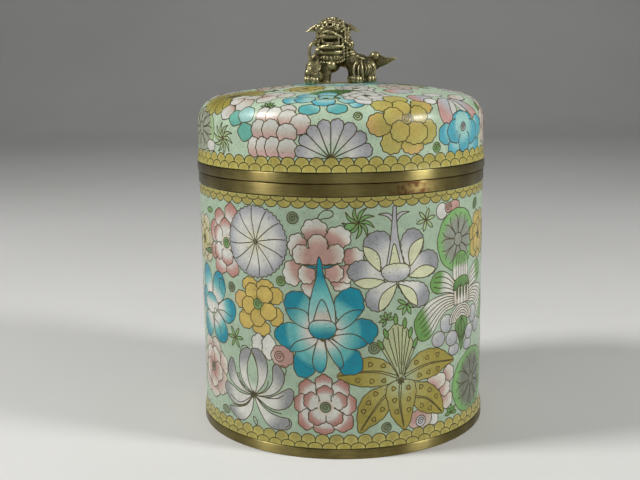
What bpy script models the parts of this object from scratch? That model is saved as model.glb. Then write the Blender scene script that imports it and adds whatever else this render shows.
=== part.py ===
"""Cloisonne humidor: an enamelled copper jar with brass bands, a domed lift-off lid and a cast lion finial.

Metres, +Z up. The origin is on the jar's axis, on the surface that it stands on. The front is towards -Y.
"""

import math

import bmesh
import bpy
from mathutils import Matrix, Vector

MM = 0.001
ROUND_STEPS = 64

# Jar and lid walls: a copper sheet with enamel on both sides
BODY_RADIUS = 62.5 * MM
WALL = 2.2 * MM
FLOOR_THICKNESS = 2.4 * MM

# Heights of the brass bands and of the joint between lid and jar
FOOT_BAND_HEIGHT = 4.2 * MM
RIM_BAND_HEIGHT = 4.9 * MM
LID_BAND_HEIGHT = 4.0 * MM
SEAM_HEIGHT = 112.1 * MM
SEAM_GAP = 0.3 * MM
JOINT_GAP = 0.3 * MM

# How far the bands stand out, and the length over which the enamel swells to meet them
RIM_BAND_PROUD = 0.3 * MM
LID_FLARE = 0.7 * MM
FOOT_FLARE = 0.8 * MM
FLARE_HEIGHT = 5.0 * MM
FLARE_POINTS = 3
BAND_CHAMFER = 0.35 * MM

# The collar inside the mouth, which keeps the lid in place
COLLAR_THICKNESS = 1.3 * MM
COLLAR_RISE = 3.6 * MM
COLLAR_DROP = 3.0 * MM
LID_CLEARANCE = 0.4 * MM

# The lid's crown: a round shoulder under a shallow dome
CROWN_HEIGHT = 36.4 * MM
SHOULDER_RADIUS = 11.6 * MM
DOME_RADIUS = 291.0 * MM
SHOULDER_POINTS = 5
DOME_POINTS = 3

# The lion: its places and radii are drawn on a grid, with z counted from the top of the lid
LION_HEIGHT = 28.4 * MM
LION_GRID_HEIGHT = 28.4
LION_UNIT = LION_HEIGHT / LION_GRID_HEIGHT
LION_CLEARANCE = 0.3 * MM
LION_VOXEL = 0.5
LION_SMOOTHING = 1
LION_KEPT_FACES = 0.102
HEAD_TURN = -9.0

# Heights and radii that follow from the sizes above
INNER_RADIUS = BODY_RADIUS - WALL
SHELL_BOTTOM = FOOT_BAND_HEIGHT + JOINT_GAP
RIM_BAND_BOTTOM = SEAM_HEIGHT - RIM_BAND_HEIGHT
SHELL_TOP = RIM_BAND_BOTTOM - JOINT_GAP
LID_BAND_BOTTOM = SEAM_HEIGHT + SEAM_GAP
LID_BAND_TOP = LID_BAND_BOTTOM + LID_BAND_HEIGHT
LID_SHELL_BOTTOM = LID_BAND_TOP + JOINT_GAP
CROWN_TOP = LID_BAND_BOTTOM + CROWN_HEIGHT
COLLAR_OUTER = INNER_RADIUS - JOINT_GAP
COLLAR_INNER = COLLAR_OUTER - COLLAR_THICKNESS
LION_BASE = CROWN_TOP + LION_CLEARANCE


def clear_scene():
    """Removes what the file holds, and makes one collection for the parts and one for the cutters."""
    for obj in list(bpy.data.objects):
        bpy.data.objects.remove(obj)
    parts = bpy.data.collections.new("humidor")
    cutters = bpy.data.collections.new("cutters")
    for collection in (parts, cutters):
        bpy.context.scene.collection.children.link(collection)
    cutters.hide_render = True
    return parts, cutters


def make_material(name, colour, roughness, metallic=0.0):
    """A plain Principled material."""
    material = bpy.data.materials.new(name)
    material.use_nodes = True
    shader = material.node_tree.nodes["Principled BSDF"]
    shader.inputs["Base Color"].default_value = (*colour, 1.0)
    shader.inputs["Roughness"].default_value = roughness
    shader.inputs["Metallic"].default_value = metallic
    return material


def turned(name, profile, closed, collection, material):
    """A solid turned round the Z axis from (radius, height) points.

    A closed profile is the section of a ring. An open one starts and ends on the axis. Either runs down
    its outer side.
    """
    mesh = bpy.data.meshes.new(name)
    edges = [(i, i + 1) for i in range(len(profile) - 1)]
    if closed:
        edges.append((len(profile) - 1, 0))
    mesh.from_pydata([(radius, 0.0, height) for radius, height in profile], edges, [])
    obj = bpy.data.objects.new(name, mesh)
    collection.objects.link(obj)
    if material:
        mesh.materials.append(material)
    screw = obj.modifiers.new("turn", "SCREW")
    screw.axis = "Z"
    screw.steps = ROUND_STEPS
    screw.render_steps = ROUND_STEPS
    screw.use_merge_vertices = True
    screw.merge_threshold = 0.01 * MM
    screw.use_smooth_shade = True
    return obj


def flare(radius, swell, band_edge, towards):
    """Wall points of a swell that reaches radius + swell at band_edge. Towards is +1 for a wall above it."""
    points = []
    for i in range(FLARE_POINTS + 1):
        share = i / FLARE_POINTS
        height = band_edge + towards * FLARE_HEIGHT * (1 - share)
        points.append((radius + swell * share**2, height))
    return points


def crown(offset):
    """The lid's outline, moved inwards by offset, from its top to the foot of its shoulder.

    The shoulder's arc touches the straight wall and the dome, so its centre follows from both.
    """
    dome = DOME_RADIUS - offset
    shoulder = SHOULDER_RADIUS - offset
    dome_centre = CROWN_TOP - DOME_RADIUS
    centre_radius = BODY_RADIUS - SHOULDER_RADIUS
    reach = DOME_RADIUS - SHOULDER_RADIUS
    centre_height = dome_centre + math.sqrt(reach**2 - centre_radius**2)
    meeting = math.atan2(centre_height - dome_centre, centre_radius)
    points = []
    for i in range(DOME_POINTS):
        angle = math.pi / 2 + (meeting - math.pi / 2) * i / DOME_POINTS
        points.append((dome * math.cos(angle), dome_centre + dome * math.sin(angle)))
    for i in range(SHOULDER_POINTS + 1):
        angle = meeting * (1 - i / SHOULDER_POINTS)
        points.append(
            (centre_radius + shoulder * math.cos(angle), centre_height + shoulder * math.sin(angle))
        )
    points[0] = (0.0, points[0][1])
    return points


def make_body_shell(collection, material):
    """The jar's wall and floor in one piece, open above."""
    inside = [(0.0, SHELL_BOTTOM + FLOOR_THICKNESS), (INNER_RADIUS, SHELL_BOTTOM + FLOOR_THICKNESS)]
    top = [(INNER_RADIUS, SHELL_TOP), (BODY_RADIUS, SHELL_TOP)]
    outside = flare(BODY_RADIUS, FOOT_FLARE, SHELL_BOTTOM, 1)
    return turned("body_shell", inside + top + outside + [(0.0, SHELL_BOTTOM)], False, collection, material)


def make_foot_band(collection, material):
    """The brass ring that the jar stands on."""
    outer = BODY_RADIUS + FOOT_FLARE
    profile = [
        (INNER_RADIUS, FOOT_BAND_HEIGHT),
        (outer - BAND_CHAMFER, FOOT_BAND_HEIGHT),
        (outer, FOOT_BAND_HEIGHT - BAND_CHAMFER),
        (outer, BAND_CHAMFER),
        (outer - BAND_CHAMFER, 0.0),
        (INNER_RADIUS, 0.0),
    ]
    return turned("foot_band", profile, True, collection, material)


def make_rim_band(collection, material):
    """The brass ring round the jar's mouth, turned in one piece with the collar that the lid fits over."""
    outer = BODY_RADIUS + RIM_BAND_PROUD
    profile = [
        (COLLAR_INNER, SEAM_HEIGHT + COLLAR_RISE),
        (COLLAR_OUTER, SEAM_HEIGHT + COLLAR_RISE),
        (COLLAR_OUTER, SEAM_HEIGHT),
        (outer - BAND_CHAMFER, SEAM_HEIGHT),
        (outer, SEAM_HEIGHT - BAND_CHAMFER),
        (outer, RIM_BAND_BOTTOM + BAND_CHAMFER),
        (outer - BAND_CHAMFER, RIM_BAND_BOTTOM),
        (COLLAR_OUTER, RIM_BAND_BOTTOM),
        (COLLAR_OUTER, RIM_BAND_BOTTOM - COLLAR_DROP),
        (COLLAR_INNER, RIM_BAND_BOTTOM - COLLAR_DROP),
    ]
    return turned("rim_band", profile, True, collection, material)


def make_lid_band(collection, material):
    """The brass ring at the lid's lower edge, which passes over the collar with a clearance."""
    outer = BODY_RADIUS + LID_FLARE
    inner = COLLAR_OUTER + LID_CLEARANCE
    profile = [
        (inner, LID_BAND_TOP),
        (outer - BAND_CHAMFER, LID_BAND_TOP),
        (outer, LID_BAND_TOP - BAND_CHAMFER),
        (outer, LID_BAND_BOTTOM + BAND_CHAMFER),
        (outer - BAND_CHAMFER, LID_BAND_BOTTOM),
        (inner, LID_BAND_BOTTOM),
    ]
    return turned("lid_band", profile, True, collection, material)


def make_lid_shell(collection, material):
    """The domed lid, hollow and open below."""
    outside = crown(0.0) + flare(BODY_RADIUS, LID_FLARE, LID_SHELL_BOTTOM, 1)
    inside = [(INNER_RADIUS, LID_SHELL_BOTTOM)] + crown(WALL)[::-1]
    return turned("lid_shell", outside + inside, False, collection, material)


def make_crown_cutter(collection):
    """What lies under the lion: the lid's crown, raised by the clearance that the paws keep to it."""
    outside = [(radius, height + LION_CLEARANCE) for radius, height in crown(0.0)]
    foot = (0.0, outside[-1][1])
    cutter = turned("crown_cutter", outside + [foot], False, collection, None)
    cutter.hide_render = True
    cutter.display_type = "WIRE"
    return cutter


def add_ball(shape, centre, radii, turn=None):
    """An ellipsoid. Turn is a rotation given as (angle in degrees, axis)."""
    if not hasattr(radii, "__len__"):
        radii = (radii, radii, radii)
    matrix = Matrix.Translation(Vector(centre) * LION_UNIT)
    if turn:
        matrix = matrix @ Matrix.Rotation(math.radians(turn[0]), 4, Vector(turn[1]))
    matrix = matrix @ Matrix.Diagonal((*(radius * LION_UNIT for radius in radii), 1.0))
    bmesh.ops.create_icosphere(shape, subdivisions=2, radius=1.0, matrix=matrix)


def add_link(shape, start, end, start_radius, end_radius):
    """A round tapered bar between two points."""
    start, end = Vector(start), Vector(end)
    way = end - start
    matrix = Matrix.Translation((start + end) / 2 * LION_UNIT)
    matrix = matrix @ way.to_track_quat("Z", "Y").to_matrix().to_4x4()
    bmesh.ops.create_cone(
        shape,
        cap_ends=True,
        segments=12,
        radius1=start_radius * LION_UNIT,
        radius2=end_radius * LION_UNIT,
        depth=way.length * LION_UNIT,
        matrix=matrix,
    )


def add_limb(shape, points):
    """A chain of balls and tapered bars through (x, y, z, radius) points."""
    for x, y, z, radius in points:
        add_ball(shape, (x, y, z), radius)
    for (*start, start_radius), (*end, end_radius) in zip(points, points[1:]):
        add_link(shape, start, end, start_radius, end_radius)


def on_head(side, forward, up):
    """A place on the head, which turns a little to the left. Side is right and forward is out of the face."""
    turn = Matrix.Rotation(math.radians(HEAD_TURN), 3, "Z")
    return HEAD + turn @ Vector((side, -forward, up))


def add_head_limb(shape, points):
    """A chain of balls and bars through (side, forward, up, radius) points of the head."""
    add_limb(shape, [(*on_head(*place), radius) for *place, radius in points])


# The lion's plan: its chest and head face the front, and its hindquarters lie behind to the right
HEAD = Vector((-2.9, -7.4, 21.6))
CHEST = Vector((-3.8, -5.6, 11.8))
LOIN = Vector((4.0, -0.4, 9.4))
RUMP = Vector((11.0, 3.6, 6.8))

# Rows of curls over the crown, front to back: how far forward and up, and half the row's width
CROWN_ROWS = ((4.7, 3.9, 5.0), (2.4, 5.1, 4.4), (-0.4, 5.3, 4.6), (-3.2, 4.4, 4.4))
CURL_SPACING = 2.1


def add_torso(shape):
    """The chest, neck, back and haunches."""
    add_ball(shape, CHEST, (5.2, 4.8, 5.0))
    add_limb(shape, [(*CHEST, 4.4), (*LOIN, 3.8), (*RUMP, 4.1)])
    add_limb(shape, [(-3.4, -4.6, 13.2, 4.8), (-2.9, -4.4, 18.4, 5.2)])
    add_ball(shape, (-3.2, -3.2, 7.4), 3.6)
    add_ball(shape, (3.6, -3.8, 11.4), (4.0, 3.8, 3.4))
    add_ball(shape, (-9.6, -6.6, 9.6), (3.2, 3.4, 3.4))
    add_ball(shape, (12.2, 1.8, 5.2), (3.9, 4.6, 4.8))


def add_head(shape):
    """The head: skull, brows, eyes, snout, open jaws, tongue, ears and the curls over the crown."""
    add_ball(shape, on_head(0, 0, 0.2), (6.7, 5.9, 5.4))
    add_ball(shape, on_head(0, 4.6, -1.0), (4.9, 3.0, 2.3))
    add_ball(shape, on_head(0, 7.4, 0.9), (1.5, 1.1, 0.9))
    add_ball(shape, on_head(0, 5.3, -2.3), (4.3, 2.2, 1.3))
    add_ball(shape, on_head(0, 4.7, -5.3), (2.2, 2.3, 0.65))
    add_ball(shape, on_head(0, 4.2, -6.8), (4.3, 2.9, 1.0))
    add_ball(shape, on_head(0, 1.2, -5.6), (5.2, 4.0, 2.2))
    for side in (-1, 1):
        lip = [(0, 7.7, 0.1, 0.8), (side * 2.7, 7.0, -0.6, 0.75), (side * 5.2, 5.0, -2.3, 0.7)]
        add_head_limb(shape, lip)
        add_ball(shape, on_head(side * 3.1, 5.0, 1.4), 1.3)
        add_head_limb(shape, [(side * 1.0, 6.2, 2.3, 0.7), (side * 4.6, 4.4, 3.0, 0.8)])
        add_head_limb(shape, [(side * 3.9, 5.4, -2.8, 0.8), (side * 3.9, 5.2, -6.0, 0.8)])
        add_head_limb(shape, [(side * 6.0, 2.0, 0.8, 1.5), (side * 5.6, 2.6, -3.4, 1.6)])
        for step in range(6):
            share = step / 5
            lift = 2.6 - 2.9 * share + 0.7 * math.sin(math.pi * share)
            height = 1.9 * (1 - share) + 0.3
            place = on_head(side * (6.2 + 4.6 * share), -0.6, lift)
            add_ball(shape, place, (1.1, 0.55, height), (side * 35, (0, 1, 0)))
    for forward, up, spread in CROWN_ROWS:
        count = 1 + round(2 * spread / CURL_SPACING)
        for i in range(count):
            side = spread * (2 * i / (count - 1) - 1)
            add_ball(shape, on_head(side, forward, up - 0.075 * side**2), 1.25)


def add_mane(shape):
    """The large curls beside the jaws and the rows of small ones down the neck."""
    add_ball(shape, (4.1, -7.2, 16.4), (2.4, 1.5, 2.3))
    add_ball(shape, (-9.6, -7.6, 16.8), (2.0, 1.5, 2.0))
    for row in range(4):
        count = 5 + row % 2
        for i in range(count):
            angle = math.radians(5 + 170 * i / (count - 1))
            reach = 5.5 + 0.3 * row
            back = -1.4 - 0.5 * row - 0.8 * reach * math.sin(angle)
            add_ball(shape, on_head(reach * math.cos(angle), back, 1.6 - 3.0 * row), 1.7)
    for row in range(2):
        for i in range(4):
            add_ball(shape, (2.0 + 1.7 * i, -6.9 + 1.9 * i + row, 13.6 - 1.0 * i - 2.2 * row), 1.1)


def add_harness(shape):
    """The folds across the throat, the beads of the collar and its bell."""
    for height, reach, thickness in ((13.1, 4.6, 0.85), (11.05, 4.9, 0.9), (9.3, 4.8, 0.6)):
        points = []
        for i in range(9):
            angle = math.radians(-170 + 160 * i / 8)
            x, y = CHEST.x + reach * math.cos(angle), -6.6 + 4.4 * math.sin(angle)
            points.append((x, y, height, thickness))
        add_limb(shape, points)
    for i in range(5):
        angle = math.radians(-130 + 20 * i)
        add_ball(shape, (CHEST.x + 5.0 * math.cos(angle), -6.6 + 4.6 * math.sin(angle), 8.4), 0.8)
    add_ball(shape, (-3.5, -11.4, 7.4), 1.8)


def add_paw(shape, x, y, heading, size=1.0):
    """A paw with four toes. Heading is the way it points, in degrees, where -90 is the front."""
    add_ball(shape, (x, y, 1.8), (3.0 * size, 3.0 * size, 2.2))
    add_ball(shape, (x, y, -0.8), (2.9 * size, 2.9 * size, 2.4))
    for step in (-1.5, -0.5, 0.5, 1.5):
        angle = math.radians(heading + step * 34)
        toe = (x + 2.5 * size * math.cos(angle), y + 2.5 * size * math.sin(angle), 1.2)
        add_ball(shape, toe, (1.15 * size, 1.15 * size, 1.9))


def add_legs(shape):
    """Four legs: the front pair straddles to the sides, and the hind pair is under the haunches."""
    add_limb(shape, [(-8.4, -6.0, 9.6, 3.0), (-11.4, -8.6, 6.4, 2.8), (-12.0, -9.4, 3.4, 3.0)])
    add_limb(shape, [(-7.2, -5.2, 8.0, 3.4), (-6.6, -4.8, 3.8, 3.2), (-6.8, -4.8, 0.4, 2.9)])
    add_ball(shape, (-9.8, -8.4, 3.4), 2.8)
    add_paw(shape, -12.0, -9.6, -98, 1.1)
    add_limb(shape, [(4.2, -4.2, 9.4, 3.4), (6.2, -5.6, 6.4, 3.2), (6.4, -6.6, 3.0, 2.7)])
    add_paw(shape, 6.4, -7.2, -86, 1.05)
    add_limb(shape, [(7.6, -8.0, 8.2, 0.6), (8.7, -7.6, 4.6, 0.7), (9.0, -7.2, 0.8, 0.6)])
    add_limb(shape, [(12.2, 1.0, 5.0, 3.4), (12.6, -0.4, 2.6, 2.5)])
    add_paw(shape, 12.6, -1.0, -72)
    add_limb(shape, [(8.0, 6.4, 7.0, 3.4), (6.4, 7.2, 3.0, 2.4)])
    add_paw(shape, 6.4, 6.8, -120, 0.9)


def add_ribbon(shape):
    """The ribbon that hangs from the corner of the mouth, clear of the chest, and ends on the shoulder."""
    add_limb(
        shape,
        [
            (-9.8, -9.6, 17.0, 0.8),
            (-12.0, -10.0, 16.0, 0.75),
            (-12.8, -10.2, 13.8, 0.75),
            (-12.9, -10.2, 11.4, 0.8),
            (-12.3, -9.6, 9.0, 0.85),
        ],
    )


def add_tail(shape):
    """The tail: a knob over the haunch, from which a broad flame points to the right."""
    add_limb(shape, [(13.6, 5.2, 7.0, 2.4), (15.0, 5.0, 10.2, 2.2)])
    for x, z, height, depth in (
        (15.4, 9.6, 3.2, 2.0),
        (16.8, 8.8, 3.1, 1.8),
        (18.2, 8.5, 2.4, 1.5),
        (19.8, 8.5, 1.75, 1.2),
        (21.4, 8.8, 1.2, 0.9),
        (23.0, 9.2, 0.8, 0.7),
        (24.1, 9.5, 0.6, 0.6),
    ):
        add_ball(shape, (x, 5.0 - 0.4 * (x - 15.0), z), (1.5 if x < 22 else 0.9, depth, height))


def make_lion(collection, cutters, material):
    """The cast lion in one piece, its paws cut to the curve of the lid."""
    shape = bmesh.new()
    for add in (add_torso, add_head, add_mane, add_harness, add_legs, add_ribbon, add_tail):
        add(shape)
    mesh = bpy.data.meshes.new("lion_finial")
    shape.to_mesh(mesh)
    shape.free()
    mesh.materials.append(material)
    lion = bpy.data.objects.new("lion_finial", mesh)
    lion.location = (0.0, 0.0, LION_BASE)
    collection.objects.link(lion)
    remesh = lion.modifiers.new("fuse", "REMESH")
    remesh.mode = "VOXEL"
    remesh.voxel_size = LION_VOXEL * LION_UNIT
    remesh.use_smooth_shade = True
    smooth = lion.modifiers.new("soften", "SMOOTH")
    smooth.iterations = LION_SMOOTHING
    thin = lion.modifiers.new("thin", "DECIMATE")
    thin.ratio = LION_KEPT_FACES
    cut = lion.modifiers.new("seat", "BOOLEAN")
    cut.operation = "DIFFERENCE"
    cut.object = make_crown_cutter(cutters)
    return lion


def main():
    parts, cutters = clear_scene()
    enamel = make_material("pale_green_enamel", (0.42, 0.55, 0.42), 0.2)
    brass = make_material("aged_brass", (0.42, 0.29, 0.10), 0.35, 1.0)
    bronze = make_material("cast_brass", (0.33, 0.24, 0.10), 0.4, 1.0)
    make_body_shell(parts, enamel)
    make_foot_band(parts, brass)
    make_rim_band(parts, brass)
    make_lid_band(parts, brass)
    make_lid_shell(parts, enamel)
    make_lion(parts, cutters, bronze)


main()
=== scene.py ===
"""The looks of the cloisonne humidor: enamel and wires over the jar and lid, brass bands and the cast lion.

Drawings are in millimetres: a counts along the wall to the right of the front line, at the wall's own radius,
and h counts up the wall. On the lid h starts at its lower edge and follows the surface to the apex.
"""

import math

import bmesh
import bpy
import numpy as np
from mathutils import Matrix, Vector, geometry, kdtree


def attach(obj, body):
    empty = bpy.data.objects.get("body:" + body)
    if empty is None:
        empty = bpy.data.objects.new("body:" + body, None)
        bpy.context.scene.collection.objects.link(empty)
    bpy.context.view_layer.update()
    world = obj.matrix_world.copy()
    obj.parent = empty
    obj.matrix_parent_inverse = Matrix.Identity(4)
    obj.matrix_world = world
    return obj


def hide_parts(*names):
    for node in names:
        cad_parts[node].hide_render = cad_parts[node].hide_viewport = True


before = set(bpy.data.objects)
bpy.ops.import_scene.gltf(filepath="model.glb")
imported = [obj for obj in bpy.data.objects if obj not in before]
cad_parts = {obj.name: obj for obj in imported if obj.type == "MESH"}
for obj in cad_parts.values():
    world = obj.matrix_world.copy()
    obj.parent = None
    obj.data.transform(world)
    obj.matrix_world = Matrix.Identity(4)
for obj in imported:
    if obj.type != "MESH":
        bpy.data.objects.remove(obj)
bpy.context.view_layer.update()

MM = 0.001

# The forms of the CAD solids, in millimetres. A band is given as inner and outer radius, bottom and top.
WALL_RADIUS = 62.5
INNER_RADIUS = 60.3
BODY_BOTTOM = 4.5
BODY_TOP = 106.9
FLOOR_TOP = 6.9
LID_BOTTOM = 116.7
CROWN_TOP = 148.8
DOME_RADIUS = 291.0
SHOULDER_RADIUS = 11.6
WALL = 2.2
FLARE_HEIGHT = 5.0
FOOT_FLARE = 0.8
LID_FLARE = 0.7
LION_BASE = 149.1
FOOT_BAND = (60.3, 63.3, 0.0, 4.2)
RIM_BAND = (60.0, 62.8, 107.2, 112.1)
COLLAR = (58.7, 60.0, 104.2, 115.7)
LID_BAND = (60.4, 63.2, 112.4, 116.4)
BAND_ROUNDING = 0.4

# How finely the surfaces are divided
AROUND = 256
GRID_PITCH = 1.0
ROW_SHARE = 0.87
OUTLINE_PITCH = 0.8
RUFFLE_PITCH = 0.4
CLEAR_OF_WIRES = 0.42
CUT_TOLERANCE = 1e-5
RIM_MARGIN = 1e-4
FULL_ARC = 2 * math.pi * WALL_RADIUS
TURNS = 2 * math.pi * np.arange(AROUND) / AROUND

# The wires between the enamels
WIRE_WIDTH = 0.4
WIRE_PROUD = 0.03
WIRE_DEPTH = 0.12
SAME_PLACE = 0.001

# The pattern: how many scales a border has in a row, and a full-sized rosette's radius
SCALE_COUNT = 68
ROSETTE_RADIUS = 13.0

# The lion's fineness, and how its hollows are told from its high places
LION_VOXEL = 0.25
LION_SOFTENING = 0.4
LION_CAVITY_STEPS = 14
LION_CAVITY_REACH = 0.5
LION_LEVEL_WEAR = 0.42

# The layout of the baked pictures: the body's front and back as two strips, the lid's skin as a disc, the
# linings as small discs, and the wires round the jar
STRIP_BOTTOM, STRIP_HEIGHT, STRIP_STEP, STRIP_MARGIN = 0.18, 0.40, 0.41, 6
LID_UV_CENTRE, LID_UV_REACH = 0.41, 0.40
UNDERSIDE_UV = (0.09, 0.09)
INSIDE_UV = (0.3, 0.09)
LID_INSIDE_UV = (0.91, 0.91)
WIRE_UV_WIDTH = 0.98
INWARDS, UP, DOWN = (-1, 0), (0, 1), (0, -1)

# The middle of the brown tarnish on the rim band, in metres
TARNISH_PLACE = (0.0282, -0.0561, 0.1088)

RANDOM = np.random.default_rng(11)


def colour(red, green, blue):
    """A linear colour from its 0 to 255 screen values."""
    share = np.array([red, green, blue]) / 255
    return np.where(share <= 0.04045, share / 12.92, ((share + 0.055) / 1.055) ** 2.4)


MINT = colour(166, 187, 161)
WHITE = colour(214, 213, 203)
CREAM = colour(206, 196, 180)
PINK = colour(186, 148, 137)
ROSE = colour(168, 120, 110)
DEEP_ROSE = colour(176, 112, 98)
BLUE = colour(0, 136, 156)
TURQUOISE = colour(96, 178, 176)
PALE_TURQUOISE = colour(156, 202, 194)
LAVENDER = colour(160, 160, 164)
PALE_LAVENDER = colour(184, 185, 186)
TIP_GREY = colour(146, 148, 147)
PETAL_GREY = colour(148, 150, 152)
IVORY = colour(216, 213, 188)
STRAW = colour(210, 213, 174)
STEM_GREEN = colour(176, 184, 140)
GREEN = colour(106, 152, 80)
DARK_GREEN = colour(78, 110, 58)
LEAF_GREEN = colour(124, 170, 104)
# LEAF_GREY is darker than PALE_LEAF_GREY, the lotus leaves' own grey; in the middle of a lotus leaf that
# darkness is painted shade.
LEAF_GREY = colour(114, 119, 104)
PALE_LEAF_GREY = colour(138, 143, 130)
SAGE = colour(122, 140, 108)
YELLOW = colour(202, 176, 92)
APRICOT = colour(208, 172, 112)
OCHRE = colour(158, 144, 60)
OCHRE_LIGHT = colour(168, 160, 88)
GOLD = colour(184, 176, 100)
AMBER = colour(166, 154, 80)
TEAL = colour(112, 182, 164)
OLIVE = colour(120, 126, 84)
# The lid's mint is a lighter copy of MINT: painted sheen, for the light that falls on the lid's ground.
MINT_WITH_PAINTED_SHEEN = colour(184, 205, 177)
LID_PINK = colour(208, 172, 163)
LID_YELLOW = colour(188, 170, 92)
LID_AMBER = colour(178, 164, 86)
LID_GOLD = colour(194, 188, 108)
LID_ROSE = colour(200, 156, 148)
LID_BLUE = colour(88, 172, 188)
LID_LEAF = colour(168, 192, 142)
LID_GREY = colour(158, 163, 142)
LINING_COLOUR = colour(92, 168, 170)


# Curves


def circle(centre, radii, count=24, start=0.0, end=360.0):
    """Points round an ellipse, or along part of it."""
    radii = np.broadcast_to(radii, 2)
    whole = abs(end - start) >= 360
    angles = np.radians(np.linspace(start, end, count, endpoint=not whole))
    return np.array(centre) + radii * np.stack([np.cos(angles), np.sin(angles)], 1)


def smooth(points, closed=True, steps=5):
    """A smooth curve through the points."""
    points = np.array(points, float)
    if closed:
        before, after = np.roll(points, 1, 0), np.roll(points, -1, 0)
        beyond = np.roll(points, -2, 0)
        spans = zip(before, points, after, beyond)
    else:
        padded = np.vstack([2 * points[0] - points[1], points, 2 * points[-1] - points[-2]])
        spans = zip(padded, padded[1:], padded[2:], padded[3:])
    curve = []
    for p, q, r, s in spans:
        for t in np.arange(steps) / steps:
            curve.append(q + 0.5 * t * (r - p + t * (2 * p - 5 * q + 4 * r - s + t * (3 * (q - r) + s - p))))
    if not closed:
        curve.append(points[-1])
    return np.array(curve)


def split(points, pitch, closed=True):
    """The same line with points added where two are further apart than the pitch."""
    ends = np.roll(points, -1, 0) if closed else points[1:]
    pieces = []
    for p, q in zip(points, ends):
        count = max(1, math.ceil(math.hypot(*(q - p)) / pitch))
        pieces.append(p + (q - p) * np.arange(count)[:, None] / count)
    if not closed:
        pieces.append(points[-1:])
    return np.vstack(pieces)


def ruffled(outline, count, depth):
    """A closed outline with that many rounded scallops along it, which meet in notches."""
    outline = split(outline, RUFFLE_PITCH)
    ends = np.roll(outline, -1, 0)
    lengths = np.hypot(*(ends - outline).T)
    way = np.concatenate([[0], np.cumsum(lengths)])
    middle = outline.mean(0)
    samples = np.linspace(0, way[-1], count * 6, endpoint=False)
    ring = np.vstack([outline, outline[:1]])
    x, y = (np.interp(samples, way, ring[:, i]) for i in (0, 1))
    along = np.stack([np.roll(x, -1) - np.roll(x, 1), np.roll(y, -1) - np.roll(y, 1)], 1)
    out = np.stack([along[:, 1], -along[:, 0]], 1) / np.hypot(*along.T)[:, None]
    points = np.stack([x, y], 1)
    if ((points - middle) * out).sum() < 0:
        out = -out
    wave = np.abs(np.sin(np.arange(count * 6) * math.pi / 6))
    return points + out * (wave * depth - depth * 0.6)[:, None]


def blade(base, tip, width, belly=0.5, blunt=1.0, bend=0.0, count=12):
    """A leaf or petal outline from its base to its tip.

    Belly is where along it is widest, blunt is below 1 for a round end, and bend bows it to the left.
    """
    base, tip = np.array(base, float), np.array(tip, float)
    way = tip - base
    side = np.array([-way[1], way[0]]) / math.hypot(*way)
    t = (1 - np.cos(np.linspace(0, math.pi, count + 1))) / 2
    half = width / 2 * np.sin(math.pi * t ** (math.log(0.5) / math.log(belly))) ** blunt
    half[[0, -1]] = 0
    middle = base + t[:, None] * way + (bend * np.sin(math.pi * t))[:, None] * side
    left = middle + half[:, None] * side
    right = middle - half[:, None] * side
    return np.vstack([right, left[-2:0:-1]])


def box_outline(box):
    """A rounded outline that fills a box given as left, right, bottom and top."""
    left, right, bottom, top = box
    return circle(((left + right) / 2, (bottom + top) / 2), ((right - left) / 2, (top - bottom) / 2), 20)


def spiral(centre, radius, turns):
    """A line that winds into the centre."""
    t = np.linspace(0, 1, 26)
    angle = 2 * math.pi * turns * t
    reach = radius * (1 - 0.88 * t)
    return np.array(centre) + np.stack([reach * np.cos(angle), reach * np.sin(angle)], 1)


def between(first, last, count):
    """That many lines spread evenly between two matching lines."""
    first, last = np.array(first, float), np.array(last, float)
    return [first + (last - first) * i / (count + 1) for i in range(1, count + 1)]


# The two shells that carry the drawings


class Shell:
    """A round wall with its outline from the lower edge up, which also lays its surface out flat.

    The flat layout is the wall seen from above, spread so that the lower edge is the outer circle.
    """

    def __init__(self, h, radius, height, flat_reach):
        self.h, self.radius, self.height, self.reach = h, radius, height, flat_reach
        slope_r, slope_z = np.gradient(radius, h), np.gradient(height, h)
        length = np.hypot(slope_r, slope_z)
        self.normal_r, self.normal_z = slope_z / length, -slope_r / length

    def flat(self, points):
        """Where (a, h) points lie in the flat layout."""
        turn = points[:, 0] / WALL_RADIUS
        reach = np.interp(points[:, 1], self.h, self.reach)
        beyond = np.maximum(self.h[0] - points[:, 1], 0) - np.maximum(points[:, 1] - self.h[-1], 0)
        reach = reach + beyond * (reach > 0)
        return np.stack([reach * np.sin(turn), -reach * np.cos(turn)], 1)

    def unrolled(self, flat, near=0.0):
        """The (a, h) of points in the flat layout, with a counted on the side of the wall that near is on."""
        a = np.arctan2(flat[:, 0], -flat[:, 1]) * WALL_RADIUS
        a += FULL_ARC * np.round((near - a) / FULL_ARC)
        h = np.interp(np.hypot(*flat.T), self.reach[::-1], self.h[::-1])
        return np.stack([a, h], 1)

    def solid(self, flat):
        """The points of the flat layout in space, and the wall's outward normals there."""
        a, h = self.unrolled(flat).T
        turn = a / WALL_RADIUS
        round_ = np.stack([np.sin(turn), -np.cos(turn)], 1)
        radius, height = np.interp(h, self.h, self.radius), np.interp(h, self.h, self.height)
        nr, nz = np.interp(h, self.h, self.normal_r), np.interp(h, self.h, self.normal_z)
        normals = np.column_stack([round_ * nr[:, None], nz])
        points = np.column_stack([round_ * radius[:, None], height])
        return points, normals / np.linalg.norm(normals, axis=1)[:, None]


def flared(height, radius, bottom, swell):
    """The radius of a wall that swells towards the band under its lower edge."""
    share = np.clip(1 - (height - bottom) / FLARE_HEIGHT, 0, 1)
    return radius + swell * share**2


def body_shell():
    """The jar's outer wall, which swells towards the foot band."""
    h = np.linspace(BODY_BOTTOM, BODY_TOP, 400)
    middle = (BODY_BOTTOM + BODY_TOP) / 2
    flat_reach = WALL_RADIUS * np.exp((middle - h) / WALL_RADIUS)
    return Shell(h, flared(h, WALL_RADIUS, BODY_BOTTOM, FOOT_FLARE), h, flat_reach)


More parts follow.
